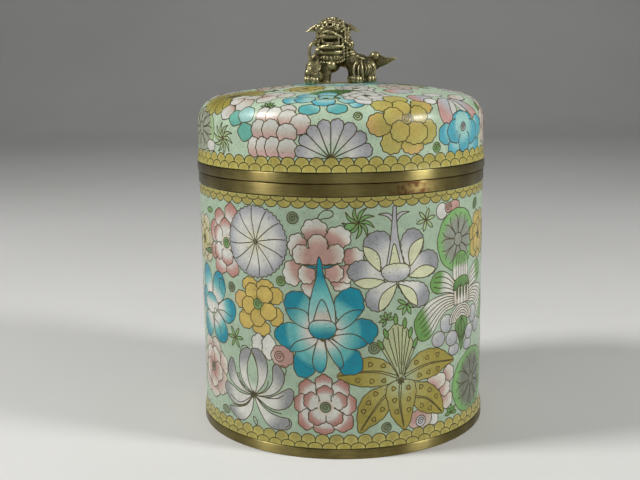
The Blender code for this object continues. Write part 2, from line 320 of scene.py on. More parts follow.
def crown(offset):
    """The lid's outline moved inwards, as radius and height from the shoulder's foot to the apex."""
    dome_centre = CROWN_TOP - DOME_RADIUS
    centre_radius = WALL_RADIUS - SHOULDER_RADIUS
    reach = DOME_RADIUS - SHOULDER_RADIUS
    centre_height = dome_centre + math.sqrt(reach**2 - centre_radius**2)
    meeting = math.atan2(centre_height - dome_centre, centre_radius)
    low = np.linspace(0, meeting, 40)
    high = np.linspace(meeting, math.pi / 2, 80)[1:]
    shoulder, dome = SHOULDER_RADIUS - offset, DOME_RADIUS - offset
    radius = np.concatenate([centre_radius + shoulder * np.cos(low), dome * np.cos(high)])
    height = np.concatenate([centre_height + shoulder * np.sin(low), dome_centre + dome * np.sin(high)])
    radius[-1] = 0.0
    return radius, height


def lid_shell():
    """The lid's outer wall from its lower edge to the apex."""
    radius, height = crown(0.0)
    wall = np.linspace(LID_BOTTOM, height[0], 60)[:-1]
    radius = np.concatenate([np.full(len(wall), WALL_RADIUS), radius])
    height = np.concatenate([wall, height])
    h = np.concatenate([[0], np.cumsum(np.hypot(np.diff(radius), np.diff(height)))])
    return Shell(h, flared(height, radius, LID_BOTTOM, LID_FLARE), height, h[-1] - h)


# Drawings: cells of enamel and lines of wire


def inside(points, polygon):
    """Which points lie inside a closed polygon, by counting the edges to their right."""
    x, y = points[:, :1], points[:, 1:]
    ax, ay = polygon.T
    bx, by = np.roll(polygon, -1, 0).T
    spans = (ay > y) != (by > y)
    with np.errstate(divide="ignore", invalid="ignore"):
        crossing = ax + (y - ay) / (by - ay) * (bx - ax)
        return (spans & (x < crossing)).sum(1) % 2 == 1


class Drawing:
    """What is laid on a shell in wire and enamel. A later cell covers what lies under it."""

    def __init__(self, shell, ground):
        self.shell = shell
        self.ground = ground
        self.cells = []
        self.wires = []
        self.order = 0

    def cell(self, outline, flat, stops, origin, axis, wired):
        """One enamel cell. The stops are (place, colour) pairs along an axis, or outwards from the origin."""
        self.order += 1
        near = outline[:, 0].mean()
        origin = outline.mean(0) if origin is None else origin
        cell = {"flat": flat, "low": flat.min(0), "high": flat.max(0), "order": self.order, "near": near}
        cell.update(stops=stops, origin=origin, axis=axis, in_plane=outline is flat)
        cell["shade"] = RANDOM.uniform(0.95, 1.05)
        span = self.measure(cell, outline)
        cell["span"] = (0.0, 1.0) if stops[-1][0] > 1 else (span.min(), span.max() - span.min() + 1e-9)
        self.cells.append(cell)
        if wired:
            self.wires.append((flat, True, self.order))

    def line(self, flat, closed):
        """A wire by itself."""
        self.order += 1
        self.wires.append((flat, closed, self.order))

    def measure(self, cell, points):
        """How far along the cell's gradient points are, in millimetres."""
        away = points - cell["origin"]
        return np.hypot(*away.T) if cell["axis"] is None else away @ cell["axis"]

    def topmost(self, points, order):
        """The last cell over each point of those laid after that order, or -1."""
        top = np.full(len(points), -1)
        by_x = np.argsort(points[:, 0])
        x, y = points[by_x].T
        laid = np.broadcast_to(order, len(points))[by_x]
        for i, cell in enumerate(self.cells):
            (left, bottom), (right, high) = cell["low"], cell["high"]
            level = slice(*np.searchsorted(x, (left, right)))
            near = (y[level] > bottom) & (y[level] < high) & (laid[level] < cell["order"])
            found = by_x[level][near]
            if len(found):
                top[found[inside(points[found], cell["flat"])]] = i
        return top

    def shown(self, points, order):
        """Whether wire at each point shows: it is on the shell, and no later cell covers it."""
        reach = np.hypot(*points.T)
        on_shell = (reach < self.shell.reach[0] - RIM_MARGIN) & (reach >= self.shell.reach[-1])
        return on_shell & (self.topmost(points, order) < 0)

    def visible_runs(self):
        """The stretches of wire that show, each as flat points and whether it closes."""
        starts, ends, orders, lengths = [], [], [], []
        for flat, closed, order in self.wires:
            after = np.roll(flat, -1, 0) if closed else flat[1:]
            starts.append(flat[: len(after)])
            ends.append(after)
            orders.append(np.full(len(after), order))
            lengths.append(len(after))
        starts, ends, orders = np.vstack(starts), np.vstack(ends), np.concatenate(orders)
        start_shows, end_shows = self.shown(starts, orders), self.shown(ends, orders)
        cut = start_shows != end_shows
        lit = np.where(start_shows[:, None], starts, ends)[cut]
        dark = np.where(start_shows[:, None], ends, starts)[cut]
        for _ in range(10):
            halfway = (lit + dark) / 2
            shows = self.shown(halfway, orders[cut])[:, None]
            lit, dark = np.where(shows, halfway, lit), np.where(shows, dark, halfway)
        crossing = np.zeros_like(starts)
        crossing[cut] = lit
        runs, first = [], 0
        for (flat, closed, _), length in zip(self.wires, lengths):
            span = range(first, first + length)
            first += length
            if closed and start_shows[span].all() and end_shows[span].all():
                runs.append((flat, True))
                continue
            run = []
            for k in span:
                if start_shows[k] and not run:
                    run = [starts[k]]
                if end_shows[k] and not start_shows[k]:
                    run = [crossing[k]]
                if start_shows[k] and not end_shows[k]:
                    run.append(crossing[k])
                if end_shows[k]:
                    run.append(ends[k])
                elif run:
                    runs.append((np.array(run), False))
                    run = []
            if run:
                runs.append((np.array(run), False))
        return [run for run in runs if len(run[0]) > 1]

    def colours(self, corners, owners):
        """The enamel's colour at each triangle's three corners, from the cell that the triangle is in."""
        made = np.empty((len(corners), 3, 3))
        made[:] = self.ground
        for i in np.unique(owners[owners >= 0]):
            cell = self.cells[i]
            mine = owners == i
            flat = corners[mine].reshape(-1, 2)
            local = flat if cell["in_plane"] else self.shell.unrolled(flat, cell["near"])
            start, span = cell["span"]
            share = (self.measure(cell, local) - start) / span
            places = [place for place, _ in cell["stops"]]
            bands = [np.interp(share, places, [c[k] for _, c in cell["stops"]]) for k in range(3)]
            made[mine] = np.stack(bands, 1).reshape(-1, 3, 3) * cell["shade"]
        return made


class Pen:
    """Draws a motif in its own millimetres, moved, turned, sized, mirrored or stretched as a whole.

    A pen in the plane draws on the flat layout itself, for what surrounds the lid's apex.
    """

    def __init__(self, drawing, a=0.0, h=0.0, size=1.0, turn=0.0, flip=False, stretch=1.0, in_plane=False):
        self.drawing, self.in_plane = drawing, in_plane
        c, s = math.cos(math.radians(turn)) * size, math.sin(math.radians(turn)) * size
        mirror = -1.0 if flip else 1.0
        self.matrix = np.array([[c * mirror * stretch, -s * stretch], [s * mirror, c]])
        self.shift = np.array([a, h], float)
        self.size = size

    def place(self, points):
        """Where the motif's own points lie in the drawing."""
        return np.atleast_2d(points) @ self.matrix.T + self.shift

    def cell(self, outline, stops, origin=None, axis=None, wired=True):
        """One cell. The colours run along the axis, given as two points, or else outwards from the origin."""
        if not isinstance(stops, list):
            stops = [(0, stops), (1, stops)]
        placed = split(self.place(outline), OUTLINE_PITCH)
        flat = placed if self.in_plane else self.drawing.shell.flat(placed)
        direction = None
        if axis is not None:
            origin, towards = axis
            direction = (self.place(towards) - self.place(origin))[0]
            direction = direction / math.hypot(*direction)
        if origin is not None:
            origin = self.place(origin)[0]
        stops = [(place if stops[-1][0] <= 1 else place * self.size, c) for place, c in stops]
        self.drawing.cell(flat if self.in_plane else placed, flat, stops, origin, direction, wired)

    def line(self, points, closed=False):
        """A wire by itself through the points."""
        placed = split(self.place(points), OUTLINE_PITCH, closed)
        self.drawing.line(placed if self.in_plane else self.drawing.shell.flat(placed), closed)


# Motifs


def petals(pen, hub, boxes, stops, scallops=7, depth=0.55):
    """Scalloped petals that fill the boxes, coloured outwards from the hub."""
    for box in boxes:
        pen.cell(ruffled(box_outline(box), scallops, depth), stops, origin=hub)


def curl(pen, centre, radius, fill, turns=1.8):
    """A small disc with a spiral of wire in it."""
    pen.cell(circle(centre, radius, 18), fill)
    pen.line(spiral(centre, radius * 0.72, turns))


def ring_boxes(count, reach, radial, across, start=0.0):
    """Boxes for petals of equal size set round the origin."""
    boxes = []
    for i in range(count):
        angle = math.radians(start + 360 * i / count)
        x, y = reach * math.cos(angle), reach * math.sin(angle)
        w = radial * abs(math.cos(angle)) + across * abs(math.sin(angle))
        h = radial * abs(math.sin(angle)) + across * abs(math.cos(angle))
        boxes.append((x - w / 2, x + w / 2, y - h / 2, y + h / 2))
    return boxes


def sprig(pen, centre, reach, count, fill, start=90.0, spread=360.0, width=0.36):
    """Small leaves round a point, over all or part of a turn."""
    step = spread / count if spread >= 360 else spread / (count - 1)
    for i in range(count):
        angle = math.radians(start + step * i)
        way = np.array([math.cos(angle), math.sin(angle)])
        tip = np.array(centre) + way * reach
        pen.cell(blade(centre, tip, reach * width, 0.55, 0.8, count=7), fill)


def pinwheel(pen, centre, reach, count=8, fill=GREEN):
    """Curved green arms that turn about a centre."""
    centre = np.array(centre, float)
    for i in range(count):
        angle = math.radians(360 * i / count + 20)
        tip = centre + reach * np.array([math.cos(angle), math.sin(angle)])
        pen.cell(blade(centre, tip, reach * 0.2, 0.45, 0.8, reach * 0.17), fill)


def pink_peony(pen):
    """The double peony behind the blue lotus."""
    hub = (-9.0, 82.0)
    edge_white = [(0, ROSE), (0.45, PINK), (0.62, CREAM), (0.78, WHITE), (1, WHITE)]
    outer = (
        (-15.7, -5.3, 89.5, 98.6), (-21.5, -13.6, 82.6, 92.7), (-6.2, 3.9, 86.8, 95.8),
        (0.4, 9.0, 79.4, 87.2), (-23.8, -15.4, 71.4, 82.0), (-4.0, 3.6, 69.6, 76.6),
        (-16.0, -9.0, 66.8, 75.5), (-2.0, 5.4, 73.0, 80.4),
    )
    petals(pen, hub, outer, edge_white, 7, 0.7)
    trefoil = (
        (-16.4, 80.4), (-19.2, 82.4), (-19.4, 85.8), (-17.4, 88.0), (-14.4, 87.9), (-12.6, 86.6),
        (-13.2, 88.8), (-12.2, 91.4), (-9.4, 92.5), (-6.4, 91.2), (-5.2, 88.4), (-5.6, 86.6), (-3.8, 88.2),
        (-0.8, 88.4), (1.0, 86.2), (0.8, 83.0), (-1.6, 80.8),
    )
    wide_fade = [(0, PINK), (5.4, PINK), (8.4, CREAM), (10.4, WHITE), (20, WHITE)]
    pen.cell(ruffled(smooth(trefoil), 21, 0.35), wide_fade, origin=(-9, 83))
    near_fade = [(0, PINK), (3.0, PINK), (5.0, CREAM), (6.5, WHITE), (20, WHITE)]
    for box, near in (((-17.4, -10.2, 72.4, 80.4), (-10.4, 77.0)), ((-6.6, 0.9, 73.4, 80.6), (-5.0, 77.0))):
        pen.cell(ruffled(box_outline(box), 8, 0.5), near_fade, origin=near)


def blue_lotus(pen):
    """The blue lotus that opens downwards from a tall pointed stem."""
    hub = (-7.8, 53.4)
    fade = [(0, CREAM), (6.5, WHITE), (9.4, PALE_TURQUOISE), (11.5, TURQUOISE), (14.2, TURQUOISE),
            (15.6, BLUE), (30, BLUE)]
    deep = [(0, PALE_TURQUOISE), (0.4, TURQUOISE), (0.55, BLUE), (1, BLUE)]
    deep_axes = (((-12, 60), (-23, 67)), ((-1, 59), (7, 71)))
    outlines = (
        ((-23.3, 62.5), (-23.1, 66.4), (-20.8, 68.9), (-16.2, 69.2), (-13.2, 66.8), (-12.0, 62.0),
         (-14.0, 57.5), (-20.0, 57.0)),
        ((-2.6, 61.5), (-3.0, 65.5), (-0.6, 69.4), (3.6, 71.2), (7.2, 69.8), (8.6, 65.5), (8.2, 61.2),
         (3.0, 59.0), (-1.0, 57.0)),
        ((-28.3, 51.0), (-26.6, 54.0), (-23.0, 56.0), (-18.6, 56.2), (-14.6, 54.8), (-11.0, 52.4),
         (-14.6, 47.6), (-20.0, 45.2), (-24.4, 46.3), (-27.2, 48.6)),
        ((14.5, 53.4), (12.6, 56.8), (8.0, 58.5), (3.2, 57.2), (-1.0, 54.6), (-3.4, 52.4), (0.4, 51.4),
         (4.6, 50.4), (10.6, 47.8), (13.4, 50.6)),
        ((-19.9, 39.6), (-19.2, 43.8), (-16.2, 45.6), (-12.0, 48.8), (-9.0, 50.4), (-9.6, 44.0),
         (-10.6, 37.6), (-13.6, 34.2), (-17.4, 34.0), (-19.5, 36.2)),
        ((-5.4, 50.6), (0.2, 47.8), (4.2, 46.2), (6.9, 44.6), (8.2, 40.8), (7.8, 37.2), (5.2, 35.6),
         (0.6, 35.6), (-1.2, 38.0), (-0.9, 42.4), (-3.0, 47.0)),
    )
    for outline, axis in zip(outlines, deep_axes):
        pen.cell(ruffled(smooth(outline), 11, 0.28), deep, axis=axis)
    for outline in outlines[2:]:
        pen.cell(ruffled(smooth(outline), 12, 0.28), fade, origin=hub)
    folds = (
        ((-22.8, 61.4), (-20.6, 57.6), (-17.0, 55.2), (-13.4, 54.4), (-12.4, 57.6), (-14.6, 61.2),
         (-18.8, 62.3)),
        ((-2.6, 56.0), (0.4, 60.0), (4.0, 61.8), (8.2, 61.8), (5.6, 58.4), (2.8, 55.8), (-0.6, 54.2)),
        ((-21.6, 44.8), (-18.8, 48.4), (-14.0, 50.2), (-8.8, 50.6), (-12.0, 47.0), (-16.2, 44.9),
         (-20.0, 44.2)),
        ((-3.6, 51.2), (2.0, 52.4), (6.2, 51.6), (10.0, 48.0), (6.0, 46.1), (2.0, 46.4), (-1.6, 48.6)),
        ((-9.4, 50.4), (-11.4, 44.6), (-12.0, 40.2), (-10.6, 37.2), (-8.6, 36.2), (-6.9, 38.0), (-6.1, 42.0),
         (-6.5, 46.2), (-7.4, 50.0)),
        ((-6.4, 50.4), (-6.2, 46.6), (-3.6, 41.4), (-0.8, 38.2), (0.4, 40.0), (-0.6, 44.4), (-3.2, 48.0)),
    )
    fold_fade = [(0, CREAM), (6.5, WHITE), (9.0, PALE_TURQUOISE), (12.5, TURQUOISE), (17.0, BLUE)]
    for outline in folds:
        pen.cell(smooth(outline), fold_fade, origin=hub)
    for tip in ((-15.4, 80.1), (-2.0, 80.5)):
        pen.cell(blade((-8.8, 79.2), tip, 1.1, 0.3, 0.8, 0.25 if tip[0] < -9 else -0.25), BLUE)
    left = ((-8.8, 83.6), (-9.6, 81.2), (-9.7, 79.0), (-10.0, 75.6), (-11.6, 70.0), (-13.0, 64.0),
            (-13.3, 58.0), (-11.8, 56.2))
    right = ((-3.6, 56.2), (-2.5, 58.0), (-3.0, 64.0), (-4.9, 70.0), (-6.9, 75.6), (-7.6, 79.0), (-7.8, 81.2))
    stem_fade = [(0, WHITE), (0.18, PALE_TURQUOISE), (0.5, TURQUOISE), (0.72, BLUE), (1, BLUE)]
    pen.cell(smooth(left + right), stem_fade, axis=((-8, 56), (-8, 84)))
    arch = ((-11.0, 56.6), (-10.4, 61.0), (-9.0, 65.0), (-7.8, 66.4), (-6.6, 65.0), (-5.2, 61.0),
            (-4.6, 56.6))
    arch_fade = [(0, WHITE), (0.35, CREAM), (0.65, PALE_TURQUOISE), (1, TURQUOISE)]
    pen.cell(smooth(arch), arch_fade, axis=((-8, 56), (-8, 66)))
    pod = ((-13.4, 54.4), (-12.0, 57.2), (-7.8, 58.0), (-3.6, 57.2), (-2.2, 54.4), (-4.0, 51.2), (-7.8, 50.0),
           (-11.6, 51.2))
    pod_fade = [(0, BLUE), (0.25, BLUE), (0.55, TURQUOISE), (0.78, PALE_TURQUOISE), (1, WHITE)]
    pen.cell(smooth(pod), pod_fade, axis=((-8, 50), (-8, 58)))
    pen.cell(circle((-7.8, 49.9), (0.7, 0.6), 10), DARK_GREEN)


def grey_lotus(pen):
    """The grey lotus with pale half petals, under a stem with curled arms."""
    hub = (22.0, 76.2)
    fade = [(0, WHITE), (10.5, WHITE), (13.0, PALE_LAVENDER), (16.0, PETAL_GREY), (25, PETAL_GREY)]
    outlines = (
        ((15.5, 76.6), (11.0, 81.0), (8.6, 87.6), (9.6, 91.0), (12.4, 93.0), (15.6, 93.3), (18.6, 92.0),
         (19.7, 88.0), (19.0, 81.0)),
        ((28.0, 77.6), (25.0, 82.0), (24.0, 88.0), (25.6, 92.0), (28.6, 93.5), (31.8, 92.6), (34.2, 89.4),
         (33.6, 84.0)),
        ((17.0, 73.6), (10.0, 72.6), (4.4, 74.0), (2.2, 77.4), (4.0, 80.8), (7.6, 82.0), (12.0, 81.2),
         (17.0, 77.6)),
        ((27.6, 74.4), (34.0, 73.0), (39.6, 74.2), (42.0, 77.6), (41.0, 82.0), (37.0, 84.1), (32.2, 82.8),
         (28.0, 79.2)),
        ((22.4, 71.8), (16.0, 72.6), (10.8, 70.0), (9.2, 65.6), (11.4, 62.0), (15.2, 61.0), (18.6, 63.4)),
        ((22.8, 71.6), (29.0, 72.2), (34.6, 70.6), (37.4, 66.6), (36.4, 62.6), (32.0, 61.0), (28.0, 63.2)),
    )
    for outline in outlines:
        pen.cell(ruffled(smooth(outline), 15, 0.4), fade, origin=hub)
    halves = (
        ((15.4, 77.0), (8.6, 87.4), 4.8, -0.8), ((28.2, 78.2), (34.2, 89.2), 5.2, 1.2),
        ((17.4, 73.2), (4.8, 73.2), 4.4, 0.6), ((27.4, 74.2), (40.6, 75.8), 5.0, 0.4),
        ((22.5, 71.7), (15.0, 61.0), 4.6, -0.7), ((22.9, 71.5), (31.6, 61.8), 4.4, 0.8),
    )
    for base, tip, width, bend in halves:
        pen.cell(blade(base, tip, width, 0.55, 0.8, bend), [(0, STRAW), (1, STRAW)])
    for tip, bend in (((14.6, 99.9), -1.7), ((27.8, 100.2), 1.7)):
        pen.cell(blade((21.3, 95.8), tip, 1.6, 0.35, 0.7, bend), PALE_LAVENDER)
    stem = ((20.6, 103.0), (20.4, 99.0), (20.1, 95.0), (19.4, 88.0), (17.9, 79.0), (25.6, 79.0), (23.8, 86.0),
            (22.7, 92.0), (22.3, 96.0), (22.1, 99.0), (22.1, 103.0))
    pen.cell(stem, [(0, WHITE), (0.4, PALE_LAVENDER), (1, LAVENDER)], axis=((22, 79), (22, 103)))
    arch = ((19.3, 78.6), (19.9, 83.6), (20.6, 87.0), (21.2, 87.9), (21.8, 87.0), (22.8, 83.6), (23.6, 78.6))
    pen.cell(smooth(arch), STRAW)
    pod = ((15.8, 76.6), (17.4, 79.2), (22.0, 80.0), (26.6, 79.2), (28.2, 76.6), (26.0, 73.4), (22.0, 72.5),
           (18.0, 73.4))
    pod_fade = [(0, LAVENDER), (0.35, PALE_LAVENDER), (0.6, WHITE), (1, STRAW)]
    pen.cell(ruffled(smooth(pod), 16, 0.22), pod_fade, axis=((22, 72.5), (22, 80)))


def lavender_disc(pen, hub=(0.0, 0.0), radius=14.4):
    """A flat round flower with a toothed edge."""
    spokes, teeth = 12, 40
    count = teeth * 4
    phase = np.arange(count) / 4 % 1
    reach = radius + 0.6 - 1.7 * np.abs(phase - 0.3)
    angles = 2 * math.pi * np.arange(count) / count
    edge = np.array(hub) + reach[:, None] * np.stack([np.cos(angles), np.sin(angles)], 1)
    fade = [(0, OLIVE), (1.2, IVORY), (3.6, IVORY), (5.6, WHITE), (9.0, WHITE), (12.0, PALE_LAVENDER),
            (14, LAVENDER), (20, LAVENDER)]
    pen.cell(edge, fade, origin=hub)
    for i in range(spokes):
        angle = 2 * math.pi * (i + 0.28) / spokes
        bow = angle + np.array([0, 0.05, 0.02, -0.03])
        reaches = radius * np.array([0.03, 0.35, 0.7, 0.96])
        pen.line(smooth(np.array(hub) + reaches[:, None] * np.stack([np.cos(bow), np.sin(bow)], 1), False, 4))
    pen.cell(circle(hub, 0.7, 10), OLIVE)


def yellow_rosette(pen):
    """The yellow double rosette, its hub at (-36, 62.3)."""
    hub = (-36.0, 62.3)
    outer = (
        (-44.0, -35.6, 66.5, 73.2), (-36.4, -28.0, 66.5, 73.0), (-31.0, -23.9, 63.0, 70.2),
        (-31.0, -23.9, 54.0, 62.0), (-39.0, -30.0, 49.2, 56.0), (-46.4, -38.0, 51.1, 59.2),
        (-48.6, -41.0, 59.4, 67.0),
    )
    inner = ((-42.4, -35.4, 63.5, 70.8), (-36.4, -28.6, 63.0, 70.2), (-44.4, -36.8, 57.4, 65.0),
             (-39.8, -32.4, 52.8, 60.6), (-34.8, -26.8, 56.0, 63.4))
    petals(pen, hub, outer[:-1], [(0, OCHRE), (0.35, YELLOW), (1, YELLOW)], 8, 0.4)
    petals(pen, hub, outer[-1:], [(0, OCHRE), (0.35, YELLOW), (1, APRICOT)], 8, 0.4)
    petals(pen, hub, inner, [(0, OCHRE), (0.3, YELLOW), (1, YELLOW)], 8, 0.35)
    curl(pen, hub, 2.1, LEAF_GREEN)


def left_rosette(pen):
    """The pink double rosette that the lavender disc overlaps."""
    hub = (-53.6, 85.5)
    tips = [(0, WHITE), (0.5, WHITE), (0.76, PINK), (1, DEEP_ROSE)]
    outer = (
        (-54.2, -46.0, 92.6, 102.4), (-62.4, -54.4, 91.4, 99.4), (-67.0, -59.4, 84.8, 94.0),
        (-66.6, -60.0, 77.4, 84.6), (-63.0, -53.6, 71.6, 79.0), (-54.4, -45.6, 71.6, 80.0),
        (-49.0, -44.0, 79.0, 93.0),
    )
    inner = ((-58.4, -50.0, 86.6, 95.8), (-63.2, -56.2, 84.4, 92.2), (-63.2, -55.6, 77.6, 85.0),
             (-57.4, -49.2, 76.0, 83.4), (-52.6, -46.0, 82.0, 90.0))
    petals(pen, hub, outer, [(0, WHITE), (0.3, WHITE), (0.62, PINK), (1, DEEP_ROSE)], 6, 0.45)
    petals(pen, hub, inner, tips, 6, 0.45)
    pen.cell(circle(hub, 3.6), CREAM, wired=False)
    curl(pen, hub, 2.2, LEAF_GREEN)


def prunus(pen):
    """The pink double blossom low in front."""
    hub = (-6.9, 21.8)
    tips = [(0, WHITE), (0.5, WHITE), (0.66, PINK), (1, DEEP_ROSE)]
    outer = (
        (-11.2, -4.0, 27.6, 35.6), (-18.0, -10.6, 24.6, 33.2), (-20.0, -13.4, 18.4, 27.0),
        (-18.5, -11.0, 11.8, 20.6), (-12.2, -3.2, 10.1, 17.0), (-4.4, 4.4, 11.4, 20.0),
        (-1.6, 5.6, 18.6, 27.4), (-4.4, 2.8, 25.0, 33.4),
    )
    inner = ((-10.6, -3.6, 23.6, 30.9), (-16.0, -9.4, 20.4, 27.9), (-14.2, -6.5, 14.1, 21.0),
             (-7.0, 0.2, 14.1, 21.2), (-4.8, 1.9, 20.9, 28.1))
    petals(pen, hub, outer, tips, 6, 0.5)
    petals(pen, hub, inner, tips, 6, 0.5)
    pen.cell(circle(hub, 3.4), CREAM, wired=False)
    curl(pen, hub, 2.2, SAGE, 1.5)


def chrysanthemum(pen):
    """The white chrysanthemum with long curved petals, over a pale blossom."""
    hub = (-39.3, 23.3)
    petals(pen, (-33, 40), ((-39.6, -32.4, 41.5, 50.0), (-34.4, -27.6, 39.6, 50.2)), WHITE, 6, 0.6)
    petals(pen, (-33, 40), ((-30.0, -19.8, 37.2, 46.6),), [(0, CREAM), (0.35, PINK), (1, PINK)], 7, 0.5)
    curl(pen, (-26.2, 41.7), 2.1, LID_ROSE, 1.5)
    outlines = (
        ((-39.3, 24.0), (-44.9, 27.7), (-46.9, 32.7), (-47.1, 37.7), (-45.6, 41.2), (-42.7, 42.9),
         (-40.2, 42.2), (-41.2, 39.0), (-42.7, 33.4), (-41.6, 28.4)),
        ((-38.6, 23.6), (-33.8, 28.8), (-32.0, 34.1), (-32.1, 38.4), (-34.1, 42.0), (-37.0, 43.5),
         (-39.9, 42.6), (-38.2, 39.4), (-36.9, 34.6), (-37.0, 28.8)),
        ((-39.6, 23.4), (-45.6, 26.3), (-49.1, 29.9), (-50.2, 34.1), (-51.4, 36.5), (-53.1, 36.3),
         (-54.6, 33.4), (-54.9, 30.4), (-53.4, 27.0), (-49.1, 24.6), (-44.0, 23.6)),
        ((-38.6, 23.2), (-33.6, 25.4), (-30.2, 29.4), (-29.4, 33.0), (-29.4, 36.6), (-27.7, 38.2),
         (-26.0, 37.2), (-24.2, 34.1), (-24.5, 30.4), (-27.0, 26.8), (-31.6, 24.2)),
        ((-39.4, 23.0), (-44.0, 22.6), (-48.0, 22.9), (-52.0, 24.5), (-56.2, 25.4), (-57.8, 22.5),
         (-56.0, 19.6), (-52.5, 17.5), (-48.6, 16.9), (-44.4, 18.2), (-41.2, 20.6)),
        ((-38.4, 23.0), (-32.0, 23.4), (-27.0, 25.6), (-23.1, 28.2), (-21.2, 28.4), (-20.0, 26.6),
         (-20.9, 22.7), (-23.4, 20.0), (-27.7, 18.7), (-32.0, 19.4), (-36.6, 22.0)),
        ((-38.4, 22.6), (-34.6, 19.2), (-31.0, 17.0), (-26.3, 15.9), (-22.7, 15.7), (-21.2, 13.6),
         (-23.1, 11.0), (-28.4, 10.3), (-32.2, 11.6), (-35.2, 15.2), (-37.6, 19.6)),
        ((-39.6, 22.4), (-43.2, 18.2), (-47.7, 16.2), (-52.0, 15.5), (-54.6, 14.8), (-53.2, 12.6),
         (-49.1, 10.7), (-45.4, 10.8), (-42.0, 13.6), (-40.0, 17.6)),
    )
    fade = [(0, LEAF_GREY), (2.4, WHITE), (11.0, WHITE), (16.0, TIP_GREY), (30, TIP_GREY)]
    for outline in outlines:
        pen.cell(smooth(outline), fade, origin=hub)
    middle = ((-39.0, 24.0), (-41.4, 27.2), (-42.5, 31.6), (-42.3, 36.3), (-39.9, 41.0), (-37.4, 36.4),
              (-36.7, 31.4), (-37.4, 27.2))
    pen.cell(smooth(middle), [(0, WHITE), (0.35, MINT), (1, MINT)], origin=hub)
    folds = (
        ((-47.6, 31.4), (-46.8, 28.4), (-44.0, 25.6), (-39.8, 23.6)),
        ((-48.6, 31.0), (-47.6, 27.8), (-44.4, 24.9), (-39.8, 23.5)),
        ((-31.6, 30.6), (-32.4, 27.8), (-34.6, 25.4), (-38.4, 23.5)),
        ((-33.0, 23.0), (-27.6, 23.6), (-24.6, 25.4)),
        ((-52.6, 16.4), (-46.6, 16.8), (-43.4, 18.8), (-40.0, 22.4)),
        ((-53.6, 20.2), (-48.6, 18.2), (-44.6, 19.4), (-40.2, 22.6)),
        ((-25.6, 17.4), (-30.6, 18.0), (-34.6, 20.0), (-38.2, 22.8)),
        ((-46.6, 40.6), (-45.4, 42.9), (-43.2, 43.7), (-41.6, 43.1)),
        ((-26.4, 37.4), (-24.4, 37.9), (-23.2, 36.2), (-24.0, 33.8)),
        ((-22.6, 15.4), (-22.2, 13.2), (-24.0, 11.6)),
    )
    for fold in folds:
        pen.line(smooth(fold, False))
    pen.line(smooth(((-39.8, 13.6), (-38.4, 13.2), (-37.6, 11.4), (-38.2, 10.4), (-39.4, 11.6))), True)
    sprig(pen, hub, 1.7, 6, DARK_GREEN)


def ochre_leaf(pen, outline, midrib, spots):
    """An ochre leaf with a double midrib, and small triangles of wire in its enamel."""
    fade = [(0, STEM_GREEN), (3.0, STEM_GREEN), (8.0, OCHRE_LIGHT), (16.0, OCHRE), (40, OCHRE)]
    pen.cell(ruffled(smooth(outline), 13, 0.25), fade, origin=outline[0])
    line = smooth(midrib, False)
    way = np.gradient(line, axis=0)
    side = np.stack([-way[:, 1], way[:, 0]], 1) / np.hypot(*way.T)[:, None]
    taper = np.linspace(0.55, 0.12, len(line))[:, None]
    for hand in (-1, 1):
        pen.line(line + side * taper * hand)
    for i, spot in enumerate(spots):
        pen.cell(smooth(circle(spot, 1.15, 3, 77 * i, 77 * i + 240), True, 3), OCHRE)


